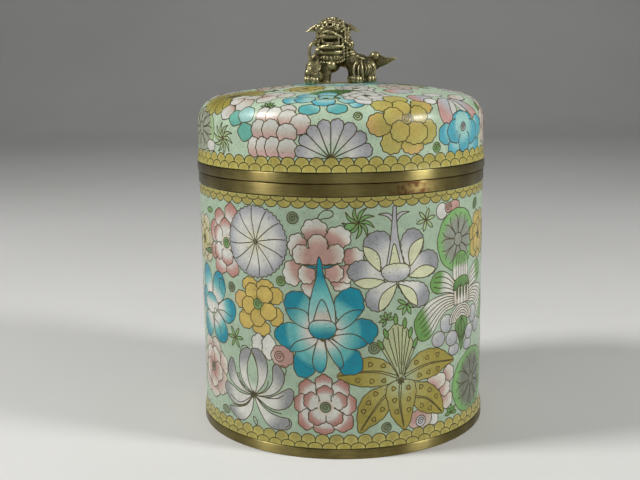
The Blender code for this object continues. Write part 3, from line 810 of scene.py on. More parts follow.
def ochre_plant(pen):
    """The plant with five spotted leaves and a fan of budding stems."""
    hub = (24.2, 31.3)
    buds = ((15.4, 47.4), (17.6, 51.8), (21.8, 57.4), (25.8, 55.4), (28.4, 51.2), (30.7, 46.6))
    stems = np.array(((15.6, 45.6), (17.2, 50.4), (19.4, 53.4), (21.8, 55.6), (23.8, 54.4), (25.8, 54.0),
                      (27.6, 51.6), (28.8, 48.8), (30.6, 44.8)))
    pen.cell(np.vstack([[hub], smooth(stems, False)[::-1]]), STEM_GREEN)
    for i, (low, high) in enumerate(zip(stems, stems[1:])):
        start = np.array(hub) + ((low + high) / 2 - hub) * (0.12, 0.3)[i % 2]
        pen.line((start, (low + high) / 2 - (0, 0.8)))
    for x, h in buds:
        place, way = np.array((x, h)), np.array([x - hub[0], h - hub[1]])
        way = way / math.hypot(*way)
        pen.cell(blade(place - 2.6 * way, place + 2.2 * way, 1.9, 0.5, 0.8, count=8), GREEN)
    sprig(pen, (18.0, 57.4), 3.4, 6, LEAF_GREEN, 10, 230)
    leaves = (
        (((22.6, 32.6), (20.4, 37.6), (16.4, 41.0), (11.6, 42.4), (7.4, 41.8), (2.6, 38.4), (-2.4, 34.9),
          (3.0, 31.7), (8.0, 30.3), (14.0, 30.0), (19.0, 30.5)),
         ((22.6, 33.2), (15.6, 35.8), (8.0, 36.4), (-1.6, 35.0)),
         ((11.2, 39.4), (16.6, 38.5), (6.2, 33.1), (11.8, 32.4), (16.8, 32.2))),
        (((25.8, 32.6), (28.4, 38.4), (32.8, 42.0), (38.6, 42.8), (44.0, 41.5), (49.0, 38.2), (52.6, 35.0),
          (46.6, 33.4), (42.6, 31.2), (37.6, 30.4), (30.8, 30.4)),
         ((25.8, 33.2), (32.6, 35.6), (40.0, 36.5), (51.8, 35.2)),
         ((31.2, 38.1), (36.6, 39.3), (42.2, 39.5), (32.8, 32.4), (37.4, 32.9), (42.4, 33.4))),
        (((23.0, 31.0), (16.0, 29.9), (10.6, 28.0), (7.4, 24.5), (5.9, 20.0), (5.8, 15.0), (6.8, 10.6),
          (11.0, 13.0), (15.6, 15.6), (18.6, 19.0), (20.0, 24.0)),
         ((20.6, 28.4), (16.4, 24.8), (11.6, 18.6), (7.2, 11.8)),
         ((13.4, 27.0), (10.4, 23.4), (8.4, 19.9), (16.2, 20.2), (12.6, 16.2))),
        (((25.4, 31.0), (31.0, 29.7), (36.0, 29.0), (40.4, 26.4), (44.0, 22.4), (45.5, 18.0), (45.8, 13.6),
          (41.0, 14.4), (36.0, 15.6), (31.6, 18.4), (28.8, 23.0)),
         ((27.2, 27.4), (31.0, 23.8), (37.4, 21.4), (45.0, 14.2)),
         ((33.6, 27.4), (38.0, 25.2), (41.8, 21.7), (34.0, 19.2), (38.4, 17.2))),
        (((24.2, 31.3), (20.8, 31.4), (18.3, 29.6), (17.6, 26.4), (18.6, 22.0), (19.8, 17.5), (22.2, 13.8),
          (26.0, 10.4), (28.8, 14.0), (29.6, 18.0), (30.6, 22.0), (31.2, 26.4), (30.4, 30.0), (27.6, 31.6)),
         ((24.0, 31.0), (23.8, 22.0), (25.6, 11.6)),
         ((21.0, 28.4), (27.6, 28.0), (21.4, 23.4), (27.8, 23.1), (22.4, 18.4), (27.9, 18.6))),
    )
    for outline, midrib, spots in leaves:
        ochre_leaf(pen, outline, midrib, spots)
    sprig(pen, hub, 1.6, 6, DARK_GREEN)


def lotus_leaf(pen, centre, radii, margin, turn, green=LEAF_GREEN, grey=LEAF_GREY):
    """A round lotus leaf: a green margin, a grey middle, double veins and a ring at the hub."""
    veins, reach = 9, max(radii)
    fade = [(0, grey), (reach - 1.4 * margin, grey), (reach - 0.6 * margin, green), (reach, green)]
    pen.cell(ruffled(circle(centre, radii, 32), 9, 0.3), fade, origin=centre)
    for i in range(veins):
        angle = math.radians(turn) + 2 * math.pi * i / veins
        for fork in (-1, 1):
            angles = angle + fork * np.array([0.02, 0.03, 0.08, 0.2])
            shares = np.array([0.2, 0.45, 0.68, 0.84])
            ways = np.stack([np.cos(angles), np.sin(angles)], 1)
            pen.line(smooth(np.array(centre) + shares[:, None] * np.array(radii) * ways, False, 4))
    pen.cell(circle(centre, 2.8, 18), grey)


def lily(pen):
    """The striped lily at the right, the same on both sides of its stalk."""
    tip_green = [(0, GREEN), (6.0, GREEN), (9.0, WHITE), (40, IVORY)]
    bead_fade = [(0, WHITE), (0.3, PALE_LAVENDER), (1, LAVENDER)]
    beads = ((42.8, 45.8, 3.8, 3.3), (52.6, 39.6, 3.7, 2.6), (51.0, 44.6, 3.9, 3.3), (47.4, 51.6, 3.9, 3.9))
    for half in (pen, Pen(pen.drawing, 116.0, flip=True)):
        for a, h, wide, high in beads:
            half.cell(circle((a, h), (wide, high), 20), bead_fade, origin=(a - 2, h + 3))
        top = ((52.0, 63.1), (47.1, 64.1), (42.1, 63.8), (37.9, 62.7), (34.3, 60.4), (31.4, 57.4),
               (30.1, 53.6))
        foot = ((52.2, 58.1), (47.1, 57.0), (43.6, 54.5), (40.9, 50.8), (38.6, 47.9), (35.7, 46.5),
                (32.4, 47.4))
        half.cell(smooth(top + foot[::-1]), tip_green, axis=((30, 52), (52, 60)))
        for line in between(top[:6], foot[:6], 5):
            half.line(smooth(line, False))
        top = ((53.4, 66.8), (50.7, 70.2), (47.9, 72.7), (44.3, 74.2), (40.7, 73.7), (38.4, 71.2))
        foot = ((52.6, 63.6), (49.3, 64.4), (45.7, 65.0), (42.1, 65.0), (39.5, 66.3), (38.1, 68.6))
        short_green = [(0, GREEN), (5.0, GREEN), (8.0, WHITE), (40, IVORY)]
        half.cell(smooth(top + foot[::-1]), short_green, axis=((38, 69), (52, 66)))
        for line in between(top[:5], foot[:5], 3):
            half.line(smooth(line, False))
    for i in range(6):
        wide, high = 8.8 - 1.25 * i, 7.8 - 1.1 * i
        pen.cell(circle((58.0, 50.8), (wide, high), 14, 0, 180), (WHITE, CREAM)[i % 2])
    pendant = ((54.4, 51.4), (53.2, 48.4), (55.2, 45.2), (56.6, 41.6), (58.0, 38.0), (59.6, 41.6),
               (61.2, 45.2), (63.4, 48.2), (62.2, 51.4), (58.2, 52.6))
    pen.cell(smooth(pendant), [(0, GREEN), (0.4, DARK_GREEN), (1, GREEN)], axis=((58, 38), (58, 52)))
    for a in (55.6, 58.1, 60.8):
        pen.line(smooth(((58.2, 52.2), (a, 48.0), (58.1 + (a - 58.1) * 0.4, 42.0)), False))
    cup = ((52.3, 58.3), (52.0, 65.8), (64.0, 65.8), (63.8, 58.3))
    pen.cell(cup, [(0, CREAM), (0.6, WHITE), (1, CREAM)], axis=((52, 58), (64, 58)))
    for a in (54.4, 56.8, 59.3, 61.8):
        pen.line(((a, 58.4), (a, 65.6)))
        pen.cell(blade((a, 67.0), (a, 60.2), 1.3, 0.4), DARK_GREEN)
    tulip = ((52.4, 69.0), (51.2, 74.2), (51.6, 77.8), (54.3, 80.1), (57.1, 80.8), (60.2, 79.8), (62.4, 77.6),
             (63.0, 74.6), (61.8, 69.0))
    tulip_fade = [(0, CREAM), (0.2, WHITE), (0.42, WHITE), (0.6, LEAF_GREEN), (1, GREEN)]
    pen.cell(smooth(tulip), tulip_fade, axis=((57, 69), (57, 80)))
    for a in (53.6, 55.4, 57.2, 59.0, 60.8):
        pen.line(((a, 70.0), (a - 0.2, 75.0), (57.0 + (a - 57.0) * 0.8, 79.2)))
    dome = ((51.6, 64.8), (52.4, 68.2), (55.6, 69.9), (60.4, 69.9), (63.6, 68.2), (64.4, 64.8), (61.8, 66.4),
            (59.3, 64.9), (56.8, 66.4), (54.4, 64.9))
    pen.cell(smooth(dome), [(0, DARK_GREEN), (1, GREEN)], axis=((58, 65), (58, 70)))


def far_blue(pen):
    """The blue flower at the left edge."""
    fade = [(0, WHITE), (0.3, WHITE), (0.55, TURQUOISE), (0.8, BLUE), (1, BLUE)]
    hub = (-66.0, 55.5)
    outlines = (
        ((-68.0, 56.6), (-72.6, 61.4), (-78.4, 62.8), (-82.0, 59.0), (-81.0, 54.0), (-75.0, 52.6)),
        ((-66.0, 58.0), (-66.6, 64.0), (-65.4, 69.4), (-61.6, 72.2), (-57.6, 71.2), (-55.4, 66.6),
         (-56.4, 62.2), (-60.0, 59.0)),
        ((-62.4, 56.4), (-58.0, 60.0), (-53.4, 61.9), (-49.6, 60.6), (-48.4, 57.0), (-50.2, 53.0),
         (-54.4, 51.0), (-59.0, 53.2)),
        ((-65.0, 54.4), (-60.0, 53.4), (-56.0, 50.2), (-54.4, 46.2), (-56.0, 42.6), (-60.4, 41.4),
         (-64.6, 43.2), (-66.4, 47.6)),
        ((-68.6, 53.0), (-67.0, 47.2), (-70.0, 42.4), (-74.6, 41.4), (-78.6, 44.4), (-78.6, 49.4),
         (-74.0, 52.8)),
        ((-68.0, 60.0), (-67.4, 66.4), (-69.6, 71.6), (-74.4, 73.4), (-78.8, 70.6), (-79.0, 65.6),
         (-74.0, 61.2)),
    )
    for outline in outlines:
        pen.cell(smooth(outline), fade, origin=hub)
    near = ((-62.4, 55.6), (-63.0, 59.0), (-67.0, 61.4), (-72.0, 61.0), (-76.4, 57.6), (-75.0, 54.4),
            (-69.0, 52.6))
    pen.cell(smooth(near), [(0, WHITE), (0.5, WHITE), (0.75, TURQUOISE), (1, BLUE)],
             axis=((-69, 52), (-69, 61)))
    folds = (
        ((-61.4, 55.4), (-57.0, 55.8), (-51.0, 54.2)),
        ((-57.4, 62.6), (-60.0, 65.6), (-59.6, 69.4), (-56.4, 68.8)),
        ((-66.4, 50.6), (-62.0, 49.0), (-60.4, 45.4)),
    )
    for fold in folds:
        pen.line(smooth(fold, False))
    pen.cell(circle((-65.0, 54.4), (1.3, 1.0), 12), WHITE)


def far_pink(pen):
    """The pale pink double flower at the left edge."""
    hub = x, h = -69.0, 28.6
    outer = [(x + p, x + q, h + r, h + s) for p, q, r, s in ring_boxes(7, 9.0, 8.0, 9.2, 20)]
    inner = [(x + p, x + q, h + r, h + s) for p, q, r, s in ring_boxes(5, 5.2, 7.0, 7.4, 60)]
    petals(pen, hub, outer, [(0, ROSE), (0.45, PINK), (0.8, CREAM), (1, WHITE)], 6, 0.5)
    petals(pen, hub, inner, [(0, ROSE), (0.4, PINK), (0.7, CREAM), (1, WHITE)], 6, 0.5)
    curl(pen, hub, 1.9, SAGE)


def plain_rosette(pen, stops, hub_fill, count=8, reach=9.2, depth=0.5):
    """A double rosette round the origin. Reach is where the outer petals' middles lie."""
    petals(pen, (0, 0), ring_boxes(count, reach, reach * 0.84, reach * 0.86, 12), stops, 6, depth)
    petals(pen, (0, 0), ring_boxes(5, reach * 0.56, reach * 0.76, reach * 0.8, 90), stops, 6, depth)
    curl(pen, (0, 0), reach * 0.22, hub_fill)


def fan(pen):
    """Half of a round flower, open upwards over the border.

    Its eight petals have straight sides and ruffled ends. They are longer at the right, and each covers the
    edge of the one before.
    """
    hub, reach = (-3.7, 5.2), 15.6
    # The hub takes the lid's lighter mint, which is painted sheen.
    stops = [(0, MINT_WITH_PAINTED_SHEEN), (3.0, MINT_WITH_PAINTED_SHEEN), (8.0, WHITE), (11.5, PALE_LAVENDER), (reach, LAVENDER)]
    first, width, lap, start = 2, 22, 0.6, 0.5
    share = np.linspace(0, 1, 19)
    swell = 2.7 * np.sqrt(np.sin(np.pi * share).clip(0)) + 0.35 * abs(np.sin(3 * np.pi * share))
    for i in range(8):
        middle = math.radians(first + width * (i + 0.5))
        turn = middle + math.radians(width / 2 + lap) * (2 * share - 1)
        radius = reach - 3.0 + math.cos(middle) + swell
        tip = np.column_stack((radius * np.cos(turn), radius * np.sin(turn))) + hub
        root = hub + start * np.array((math.cos(middle), math.sin(middle)))
        pen.cell(np.vstack([root, tip]), stops, origin=hub)


def scale_border(pen, low, peaks, cusps, centres, up=True, near=AMBER, far=GOLD):
    """Two rows of overlapping scales all the way round: the row behind comes first in each pair."""
    half = FULL_ARC / SCALE_COUNT / 2
    fade = [(0, near), (1.2, near), (2.6, far), (9, far)]
    for peak, cusp, centre in zip(peaks, cusps, centres):
        middle = (cusp + peak) / 2 - (0.6 if up else -0.6)
        for k in range(SCALE_COUNT):
            x = centre + 2 * half * k
            arc = np.radians(np.linspace(180, 0, 9))
            top = [(x + half * math.cos(t), cusp + (peak - cusp) * math.sin(t)) for t in arc]
            pen.cell([(x - half, low)] + top + [(x + half, low)], fade, origin=(x, middle))


def small_things(pen):
    """The curls, stars, buds and small leaves of the front."""
    curl(pen, (-19.3, 98.7), 2.4, SAGE)
    curl(pen, (-24.8, 73.0), 2.0, LEAF_GREEN)
    curl(pen, (-50.8, 67.3), 2.1, SAGE)
    curl(pen, (12.9, 46.0), 2.4, SAGE)
    curl(pen, (17.9, 12.3), 2.1, SAGE)
    pen.cell(ruffled(box_outline((36.8, 43.0, 9.4, 15.0)), 4, 0.4), WHITE)
    blossom_fade = [(0, PINK), (0.4, PINK), (1, CREAM)]
    pen.cell(ruffled(box_outline((27.4, 39.4, 9.2, 18.0)), 6, 0.5), blossom_fade, origin=(31, 17))
    curl(pen, (33.6, 12.7), 2.4, PALE_LAVENDER)
    pinwheel(pen, (6.8, 97.0), 6.6, 9, LEAF_GREEN)
    pen.cell(blade((6.0, 96.4), (1.0, 94.6), 3.0, 0.6, 0.8), LEAF_GREEN)
    sprig(pen, (35.6, 96.3), 4.8, 6, LID_LEAF, 75, width=0.3)
    sprig(pen, (-49.3, 46.2), 4.8, 6, LEAF_GREEN, 60, width=0.3)
    sprig(pen, (26.7, 62.8), 4.6, 6, LEAF_GREEN, 150, 240, 0.34)
    sprig(pen, (51.0, 12.0), 4.0, 5, GREEN, 0, 180, 0.4)
    loop = ((-9.3, 97.4), (-8.9, 99.6), (-7.2, 101.5), (-5.2, 102.1), (-3.3, 101.4), (-3.2, 99.9),
            (-4.8, 98.9), (-7.2, 98.6))
    pen.line(smooth(loop), True)
    pen.cell(circle((44.0, 98.9), (3.2, 3.4), 18), WHITE)
    pen.cell(ruffled(circle((51.8, 100.2), (3.6, 2.6)), 6, 0.4), PINK)
    curl(pen, (47.8, 100.0), 2.1, PINK)
    pen.cell(blade((-70.4, 97.4), (-64.4, 97.8), 2.4, 0.5, 0.8), GREEN)
    pen.cell(blade((67.6, 97.0), (71.6, 101.0), 4.0, 0.5, 0.7), DARK_GREEN)
    pen.cell(circle((-57.6, 12.6), (2.8, 1.8), 16), SAGE)


def right_low(pen):
    """The pale blossom between the ochre plant and the large leaf, low at the right."""
    boxes = ((45.4, 52.6, 26.0, 33.8), (44.2, 51.8, 14.8, 22.8), (43.2, 50.2, 20.6, 27.6),
             (36.6, 47.4, 24.4, 31.8))
    petals(pen, (39.0, 25.0), boxes, [(0, PINK), (0.3, PINK), (0.6, CREAM), (1, WHITE)], 6, 0.4)


def front_of_body(pen):
    """The front as the photograph shows it, from what lies behind to what lies on top."""
    small_things(pen)
    right_low(pen)
    lotus_leaf(pen, (54.6, 86.0), (13.0, 13.2), 3.6, 10, grey=PALE_LEAF_GREY)
    # The lower leaf keeps the darker LEAF_GREY in its middle: painted shade, for the weaker light low on the
    # jar.
    lotus_leaf(pen, (68.0, 22.6), (16.4, 14.4), 4.6, 20)
    plain_rosette(Pen(pen.drawing, 75.0, 85.0), [(0, OCHRE), (0.4, YELLOW), (1, AMBER)], OLIVE, 7, 7.4)
    plain_rosette(Pen(pen.drawing, -76.0, 84.0), [(0, OCHRE_LIGHT), (0.4, GOLD), (1, CREAM)], OLIVE, 7, 7.4)
    pen.cell(blade((-76.0, 79.0), (-63.0, 80.6), 2.6, 0.6, 0.8), DARK_GREEN)
    left_rosette(pen)
    far_pink(pen)
    far_blue(pen)
    lavender_disc(pen, (-36.4, 88.0))
    yellow_rosette(pen)
    pink_peony(pen)
    grey_lotus(pen)
    ochre_plant(pen)
    chrysanthemum(pen)
    blue_lotus(pen)
    prunus(pen)
    lily(pen)


def back_of_body(drawing):
    """The same kinds of flower carried on round the back."""
    curls = (
        (100, 99), (128, 60), (150, 99), (272, 44), (203, 98), (241, 41), (262, 99), (283, 71), (214, 63),
        (286, 48),
    )
    for a, h in curls:
        curl(Pen(drawing, a, h), (0, 0), 2.1, (LEAF_GREEN, PINK, OLIVE, MINT)[a % 4])
    sprigs = (
        (113, 95, 4.6), (189, 64, 4.8), (246, 96, 4.6), (276, 14, 4.4), (151, 42, 4.6), (233, 33, 4.4),
        (286, 97, 4.4),
    )
    for a, h, reach in sprigs:
        sprig(Pen(drawing, a, h), (0, 0), reach, 5, (GREEN, LEAF_GREEN, DARK_GREEN)[a % 3], 40 + a)
    for a, h in ((166, 97), (226, 12), (105, 60)):
        pinwheel(Pen(drawing, a, h), (0, 0), 5.2)
    far_pink(Pen(drawing, 166.0, 3.0))
    lotus_leaf(Pen(drawing), (98.0, 78.0), (13.6, 13.2), 3.8, 5)
    lotus_leaf(Pen(drawing), (253.0, 24.0), (15.0, 13.6), 4.2, 30)
    yellow_rosette(Pen(drawing, 154.0, 76.3, flip=True))
    left_rosette(Pen(drawing, 193.6, -64.0))
    lavender_disc(Pen(drawing, 183.0, 84.0))
    pink_peony(Pen(drawing, 132.0, 2.0, flip=True))
    blue_lotus(Pen(drawing, 105.0, -2.0, flip=True))
    chrysanthemum(Pen(drawing, 194.0, 30.0))
    grey_lotus(Pen(drawing, 202.0, 1.0))
    ochre_plant(Pen(drawing, 182.0, -1.0, 0.96, flip=True))
    prunus(Pen(drawing, 220.0, 1.0))
    far_blue(Pen(drawing, 330.0, 26.0))
    yellow_rosette(Pen(drawing, 325.0, -32.0))
    lavender_disc(Pen(drawing, 297.0, 84.0), radius=11.0)
    white = [(0, PINK), (0.3, CREAM), (0.6, WHITE), (1, WHITE)]
    pink = [(0, WHITE), (0.5, CREAM), (0.75, PINK), (1, ROSE)]
    yellow = [(0, OCHRE), (0.4, YELLOW), (1, YELLOW)]
    blue = [(0, WHITE), (0.35, PALE_TURQUOISE), (0.7, TURQUOISE), (1, BLUE)]
    for a, h, count, reach, stops in (
        (262.0, 52.0, 7, 8.4, pink), (227.0, 50.0, 8, 8.4, yellow), (197.0, 46.0, 6, 7.8, blue),
        (191.0, 20.0, 7, 7.2, white), (297.0, 58.0, 7, 7.6, white), (119.0, 22.0, 8, 7.4, yellow),
    ):
        plain_rosette(Pen(drawing, a, h), stops, OLIVE, count, reach)
    fan(Pen(drawing, 142.0, 5.0))


def lid_rosette(drawing, hub, radius, stops, fill, stretch=1.0, turn=0.0):
    """A double rosette on the lid, drawn about its own hub."""
    own = Pen(drawing, *hub, size=radius / ROSETTE_RADIUS, turn=turn, stretch=stretch)
    plain_rosette(own, stops, fill, depth=0.45)


def lid_front(pen):
    """The lid's front as the photograph shows it, from what lies behind to what lies on top."""
    white_tips = [(0, PINK), (0.3, CREAM), (0.7, WHITE), (1, WHITE)]
    lotus_leaf(pen, (-75.0, 14.8), (14.6, 9.4), 3.4, 15, LID_LEAF, LID_GREY)
    pen.cell(ruffled(circle((-64.0, 8.2), (4.0, 2.4), 16), 5, 0.3), WHITE)
    pinwheel(pen, (-54.0, 11.7), 6.6, 10, LID_LEAF)
    rays = Pen(pen.drawing, -65.0, 34.0, stretch=1.5)
    for i in range(18):
        way = math.radians(20 * i + 7)
        ray = blade((0, 0), (13.5 * math.cos(way), 13.5 * math.sin(way)), 4.6, 0.75, 0.6)
        rays.cell(ray, [(0, OCHRE), (0.6, OCHRE_LIGHT), (1, GOLD)])
    white_boxes = (
        (-46.0, -34.0, 35.0, 45.0), (-60.0, -50.0, 29.0, 37.0), (-36.0, -26.0, 35.0, 44.0),
        (-52.0, -43.0, 30.0, 38.0), (-42.0, -32.5, 28.2, 38.0), (-50.0, -40.8, 22.8, 31.6),
        (-56.2, -48.6, 25.8, 32.0), (-57.0, -48.6, 19.2, 26.2),
    )
    petals(pen, (-43.0, 37.0), white_boxes, white_tips, 5, 0.35)
    for box, fill in (
        ((-50.0, -42.0, 17.0, 23.6), TEAL), ((-45.0, -36.6, 18.4, 25.6), PALE_TURQUOISE),
        ((-44.2, -36.2, 11.2, 18.6), TEAL),
    ):
        pen.cell(ruffled(box_outline(box), 5, 0.4), fill)
    sprig(pen, (-31.6, 25.6), 3.6, 5, LEAF_GREEN, 20, 150, 0.3)
    pen.cell(ruffled(box_outline((-18.0, 18.0, 34.0, 52.0)), 9, 0.6), [(0, DARK_GREEN), (1, GREEN)])
    lid_blue(pen)
    white = [(0, CREAM), (0.3, WHITE), (0.7, WHITE), (1, PALE_LAVENDER)]
    lid_rosette(pen.drawing, (14.0, 38.0), 10.0, white, LAVENDER, 1.24, 15)
    lid_pale_peony(pen)
    fan(pen)
    curl(pen, (7.0, 21.6), 1.7, LID_LEAF, 1.5)
    lid_yellow(pen)
    curl(pen, (40.8, 8.0), 2.0, LEAF_GREEN)
    hub = (55.6, 28.4)
    pink_tips = [(0, PALE_LAVENDER), (0.4, PALE_LAVENDER), (0.75, LID_ROSE), (1, LID_ROSE)]
    for box, stops in (
        ((46.0, 58.0, 31.0, 38.0), WHITE), ((30.0, 50.0, 40.0, 50.0), pink_tips),
        ((33.0, 46.4, 27.4, 36.0), pink_tips), ((58.0, 72.0, 26.6, 32.0), white_tips),
    ):
        pen.cell(box_outline(box), stops, origin=hub)
    for outline, stops in (
        (((55.4, 28.6), (49.6, 29.4), (45.6, 26.4), (43.4, 21.6), (44.4, 17.6), (48.4, 16.8), (51.6, 19.0),
          (53.4, 24.0)), pink_tips),
        (((55.4, 28.4), (52.4, 25.4), (50.9, 21.6), (51.6, 18.8), (54.0, 20.8), (55.8, 24.6)), WHITE),
        (((55.8, 28.6), (62.6, 26.8), (68.4, 23.4), (71.6, 19.4), (70.4, 17.0), (66.6, 17.6), (61.6, 22.8)),
         pink_tips),
        (((55.8, 28.2), (59.6, 24.6), (62.6, 21.0), (63.6, 18.0), (61.6, 18.2), (58.4, 21.4), (56.2, 24.6)),
         WHITE),
    ):
        pen.cell(smooth(outline), stops, origin=hub)
    pen.cell(circle((42.6, 27.9), (3.5, 2.1), 18), WHITE)
    lid_right_blue(pen)
    pen.cell(blade((75.0, 21.6), (80.0, 23.4), 3.6, 0.5, 0.7), GREEN)


def lid_blue(pen):
    """The blue flower over the fan."""
    pale = [(0, PALE_TURQUOISE), (0.45, PALE_TURQUOISE), (0.8, LID_BLUE), (1, LID_BLUE)]
    deep = [(0, PALE_TURQUOISE), (0.5, TURQUOISE), (1, TURQUOISE)]
    back = ((-13.0, -1.0, 38.0, 46.0), (-23.0, -11.0, 34.0, 42.0), (-2.0, 8.6, 34.0, 41.0),
            (-27.0, -17.5, 27.8, 36.0), (3.0, 10.8, 25.4, 33.2), (-21.6, -11.4, 28.6, 36.6),
            (-1.0, 8.2, 28.0, 35.4))
    petals(pen, (-6.5, 35.0), back, pale, 5, 0.3)
    petals(pen, (-6.5, 32.0), ((-17.2, -8.0, 22.2, 27.6), (-5.6, 3.2, 22.6, 27.8)), deep, 6, 0.3)
    petals(pen, (-6.5, 35.0), ((-12.5, -1.8, 26.6, 33.0), (-11.0, -2.5, 33.0, 40.0)), pale, 7, 0.3)
    pen.cell(circle((-6.8, 34.0), 1.2, 12), DARK_GREEN)


def lid_pale_peony(pen):
    """The pale pink flower of scalloped petals in rows, over the border at the left."""
    rows = (
        (-26.0, -18.0, 20.6, 27.4), (-35.6, -28.8, 18.0, 25.8), (-31.0, -23.6, 18.2, 26.0),
        (-25.2, -17.2, 17.2, 24.6), (-19.8, -11.4, 14.4, 22.8), (-37.0, -30.0, 11.8, 20.2),
        (-32.0, -24.0, 11.8, 20.4), (-25.4, -16.8, 10.8, 18.8), (-39.0, -33.0, 5.0, 13.4),
        (-35.0, -28.6, 4.8, 13.4), (-30.8, -23.4, 4.8, 13.6), (-25.2, -16.6, 4.4, 13.0),
    )
    stops = [(0, LID_PINK), (0.25, LID_PINK), (0.5, CREAM), (0.7, WHITE), (1, WHITE)]
    for box in rows:
        left, _, low, high = box
        pen.cell(ruffled(box_outline(box), 9, 0.3), stops, axis=((left, low), (left, high)))


def lid_yellow(pen):
    """The large yellow peony to the right of the fan."""
    hub = (26.8, 19.8)
    outer = (
        (20.0, 31.4, 26.4, 36.0), (30.6, 41.0, 21.4, 29.4), (13.0, 22.6, 23.2, 30.0),
        (10.2, 21.0, 13.4, 22.8), (15.6, 25.0, 6.4, 15.0), (24.2, 34.2, 6.0, 13.0), (30.6, 40.6, 9.6, 19.6),
    )
    inner = ((22.0, 30.2, 21.4, 29.2), (29.0, 36.8, 17.6, 25.6), (17.2, 25.6, 17.0, 25.2),
             (24.6, 36.2, 9.8, 18.6), (19.6, 27.8, 11.0, 19.4))
    fades = ([(0, LID_YELLOW), (1, GOLD)], [(0, OCHRE_LIGHT), (0.5, LID_YELLOW), (1, APRICOT)])
    for i, box in enumerate(outer):
        petals(pen, hub, (box,), fades[i % 2], 9, 0.5)
    petals(pen, hub, inner, [(0, LID_YELLOW), (0.5, LID_YELLOW), (1, GOLD)], 9, 0.4)
    curl(pen, hub, 2.0, LID_YELLOW)


def lid_right_blue(pen):
    """The blue flower at the right, under the pink one."""
    hub = (57.3, 15.2)
    pale = [(0, PALE_TURQUOISE), (0.25, PALE_TURQUOISE), (0.65, LID_BLUE), (1, LID_BLUE)]
    outer = (
        (41.8, 50.4, 8.6, 17.2), (47.2, 55.0, 3.0, 10.8), (61.4, 73.0, 3.0, 11.2), (64.6, 75.0, 9.6, 19.4),
        (50.0, 64.4, 14.0, 21.8),
    )
    petals(pen, hub, outer, pale, 6, 0.3)
    inner = ((46.8, 57.4, 8.8, 18.6), (57.6, 69.6, 7.8, 17.8), (54.2, 62.6, 4.6, 14.0))
    petals(pen, hub, inner, pale, 7, 0.3)
    pen.cell(circle((57.2, 16.6), (5.4, 4.8), 20), PALE_TURQUOISE, wired=False)
    curl(pen, hub, 1.8, PALE_LAVENDER)


def draw_lid(drawing):
    """The same kinds of flower round the back and over the top, then the front."""
    blue = [(0, PALE_TURQUOISE), (0.4, PALE_TURQUOISE), (1, LID_BLUE)]
    yellow = [(0, OCHRE_LIGHT), (0.4, LID_YELLOW), (1, LID_YELLOW)]
    pale_pink = [(0, PINK), (0.4, LID_PINK), (0.66, CREAM), (1, WHITE)]
    pink_tips = [(0, WHITE), (0.4, CREAM), (1, LID_PINK)]
    lilac = [(0, WHITE), (0.5, WHITE), (1, PALE_LAVENDER)]
    for centre in ((196.0, 30.0), (92.0, 30.0)):
        lid_rosette(drawing, centre, 12.0, [(0, PINK), (0.3, WHITE), (1, WHITE)], PINK, 1.14)
    back = (
        (88.0, 15.0, 12.0, pale_pink, 1.0), (114.0, 16.6, 12.8, blue, 1.02),
        (140.0, 17.0, 13.0, yellow, 1.02), (192.0, 15.6, 12.6, pink_tips, 1.0),
        (218.0, 17.0, 12.6, lilac, 1.02), (243.0, 16.6, 12.4, yellow, 1.02), (268.0, 15.4, 12.0, blue, 1.0),
        (293.0, 14.6, 10.0, pink_tips, 1.0), (128.0, 35.0, 11.0, pink_tips, 1.2),
        (160.0, 33.0, 11.0, lilac, 1.18), (228.0, 35.0, 11.0, blue, 1.2),
        (262.0, 33.0, 11.0, pale_pink, 1.18), (299.0, 34.0, 11.0, lilac, 1.18),
    )
    for a, h, radius, stops, stretch in back:
        lid_rosette(drawing, (a, h), radius, stops, (LEAF_GREY, OLIVE, PINK)[int(a) % 3], stretch,
                    int(a * 7) % 40)
    fan(Pen(drawing, 169.7, 0.0))
    for a in (101.0, 127.0, 153.5, 205.0, 231.0, 256.0, 280.0):
        sprig(Pen(drawing), (a, 6.0 + a % 4), 3.4, 5, (GREEN, DARK_GREEN)[int(a) % 2], a)
        curl(Pen(drawing), (a + 1.0, 27.6), 1.9, (MINT, LEAF_GREEN)[int(a) % 2])
    top = Pen(drawing, in_plane=True)
    rosettes, rosette_ring, sprig_ring, ray_count, ray_reach = 9, 30.5, 37.5, 16, 22.0
    for i in range(rosettes):
        angle = 2 * math.pi * (i + 0.3) / rosettes
        place = rosette_ring * math.sin(angle), -rosette_ring * math.cos(angle)
        own = Pen(drawing, *place, 0.62, 40 * i, in_plane=True)
        plain_rosette(own, (lilac, pink_tips, yellow)[i % 3], (PINK, OLIVE, LEAF_GREY)[i % 3], 7)
        angle += 2 * math.pi * 0.5 / rosettes
        place = sprig_ring * math.sin(angle), -sprig_ring * math.cos(angle)
        sprig(top, place, 3.2, 5, (LEAF_GREEN, DARK_GREEN)[i % 2], 50 * i)
    for i in range(ray_count):
        angle = 2 * math.pi * i / ray_count
        tip = ray_reach * math.sin(angle), -ray_reach * math.cos(angle)
        stops = [(0, WHITE), (0.55, PALE_TURQUOISE), (1, (TURQUOISE, LAVENDER)[i % 2])]
        top.cell(blade((0, 0), tip, 8.0, 0.8, 0.5), stops, origin=(0, 0))
    top.cell(circle((0, 0), 12.0, 40), [(0, YELLOW), (1, OCHRE_LIGHT)])
    lid_front(Pen(drawing))
    scale_border(Pen(drawing), -1.0, (5.8, 2.8), (3.2, 0.6), (2.3, -0.7), near=LID_AMBER, far=LID_GOLD)


def draw_body(drawing):
    """The flowers of the back, then of the front, then the borders of scales."""
    back_of_body(drawing)
    pen = Pen(drawing)
    front_of_body(pen)
    scale_border(pen, BODY_BOTTOM - 1.0, (10.2, 6.8), (7.8, 5.0), (-2.6, 0.3))
    scale_border(pen, BODY_TOP + 1.0, (102.6, 105.0), (105.0, 106.6), (0.3, -2.6), False)


# Meshes


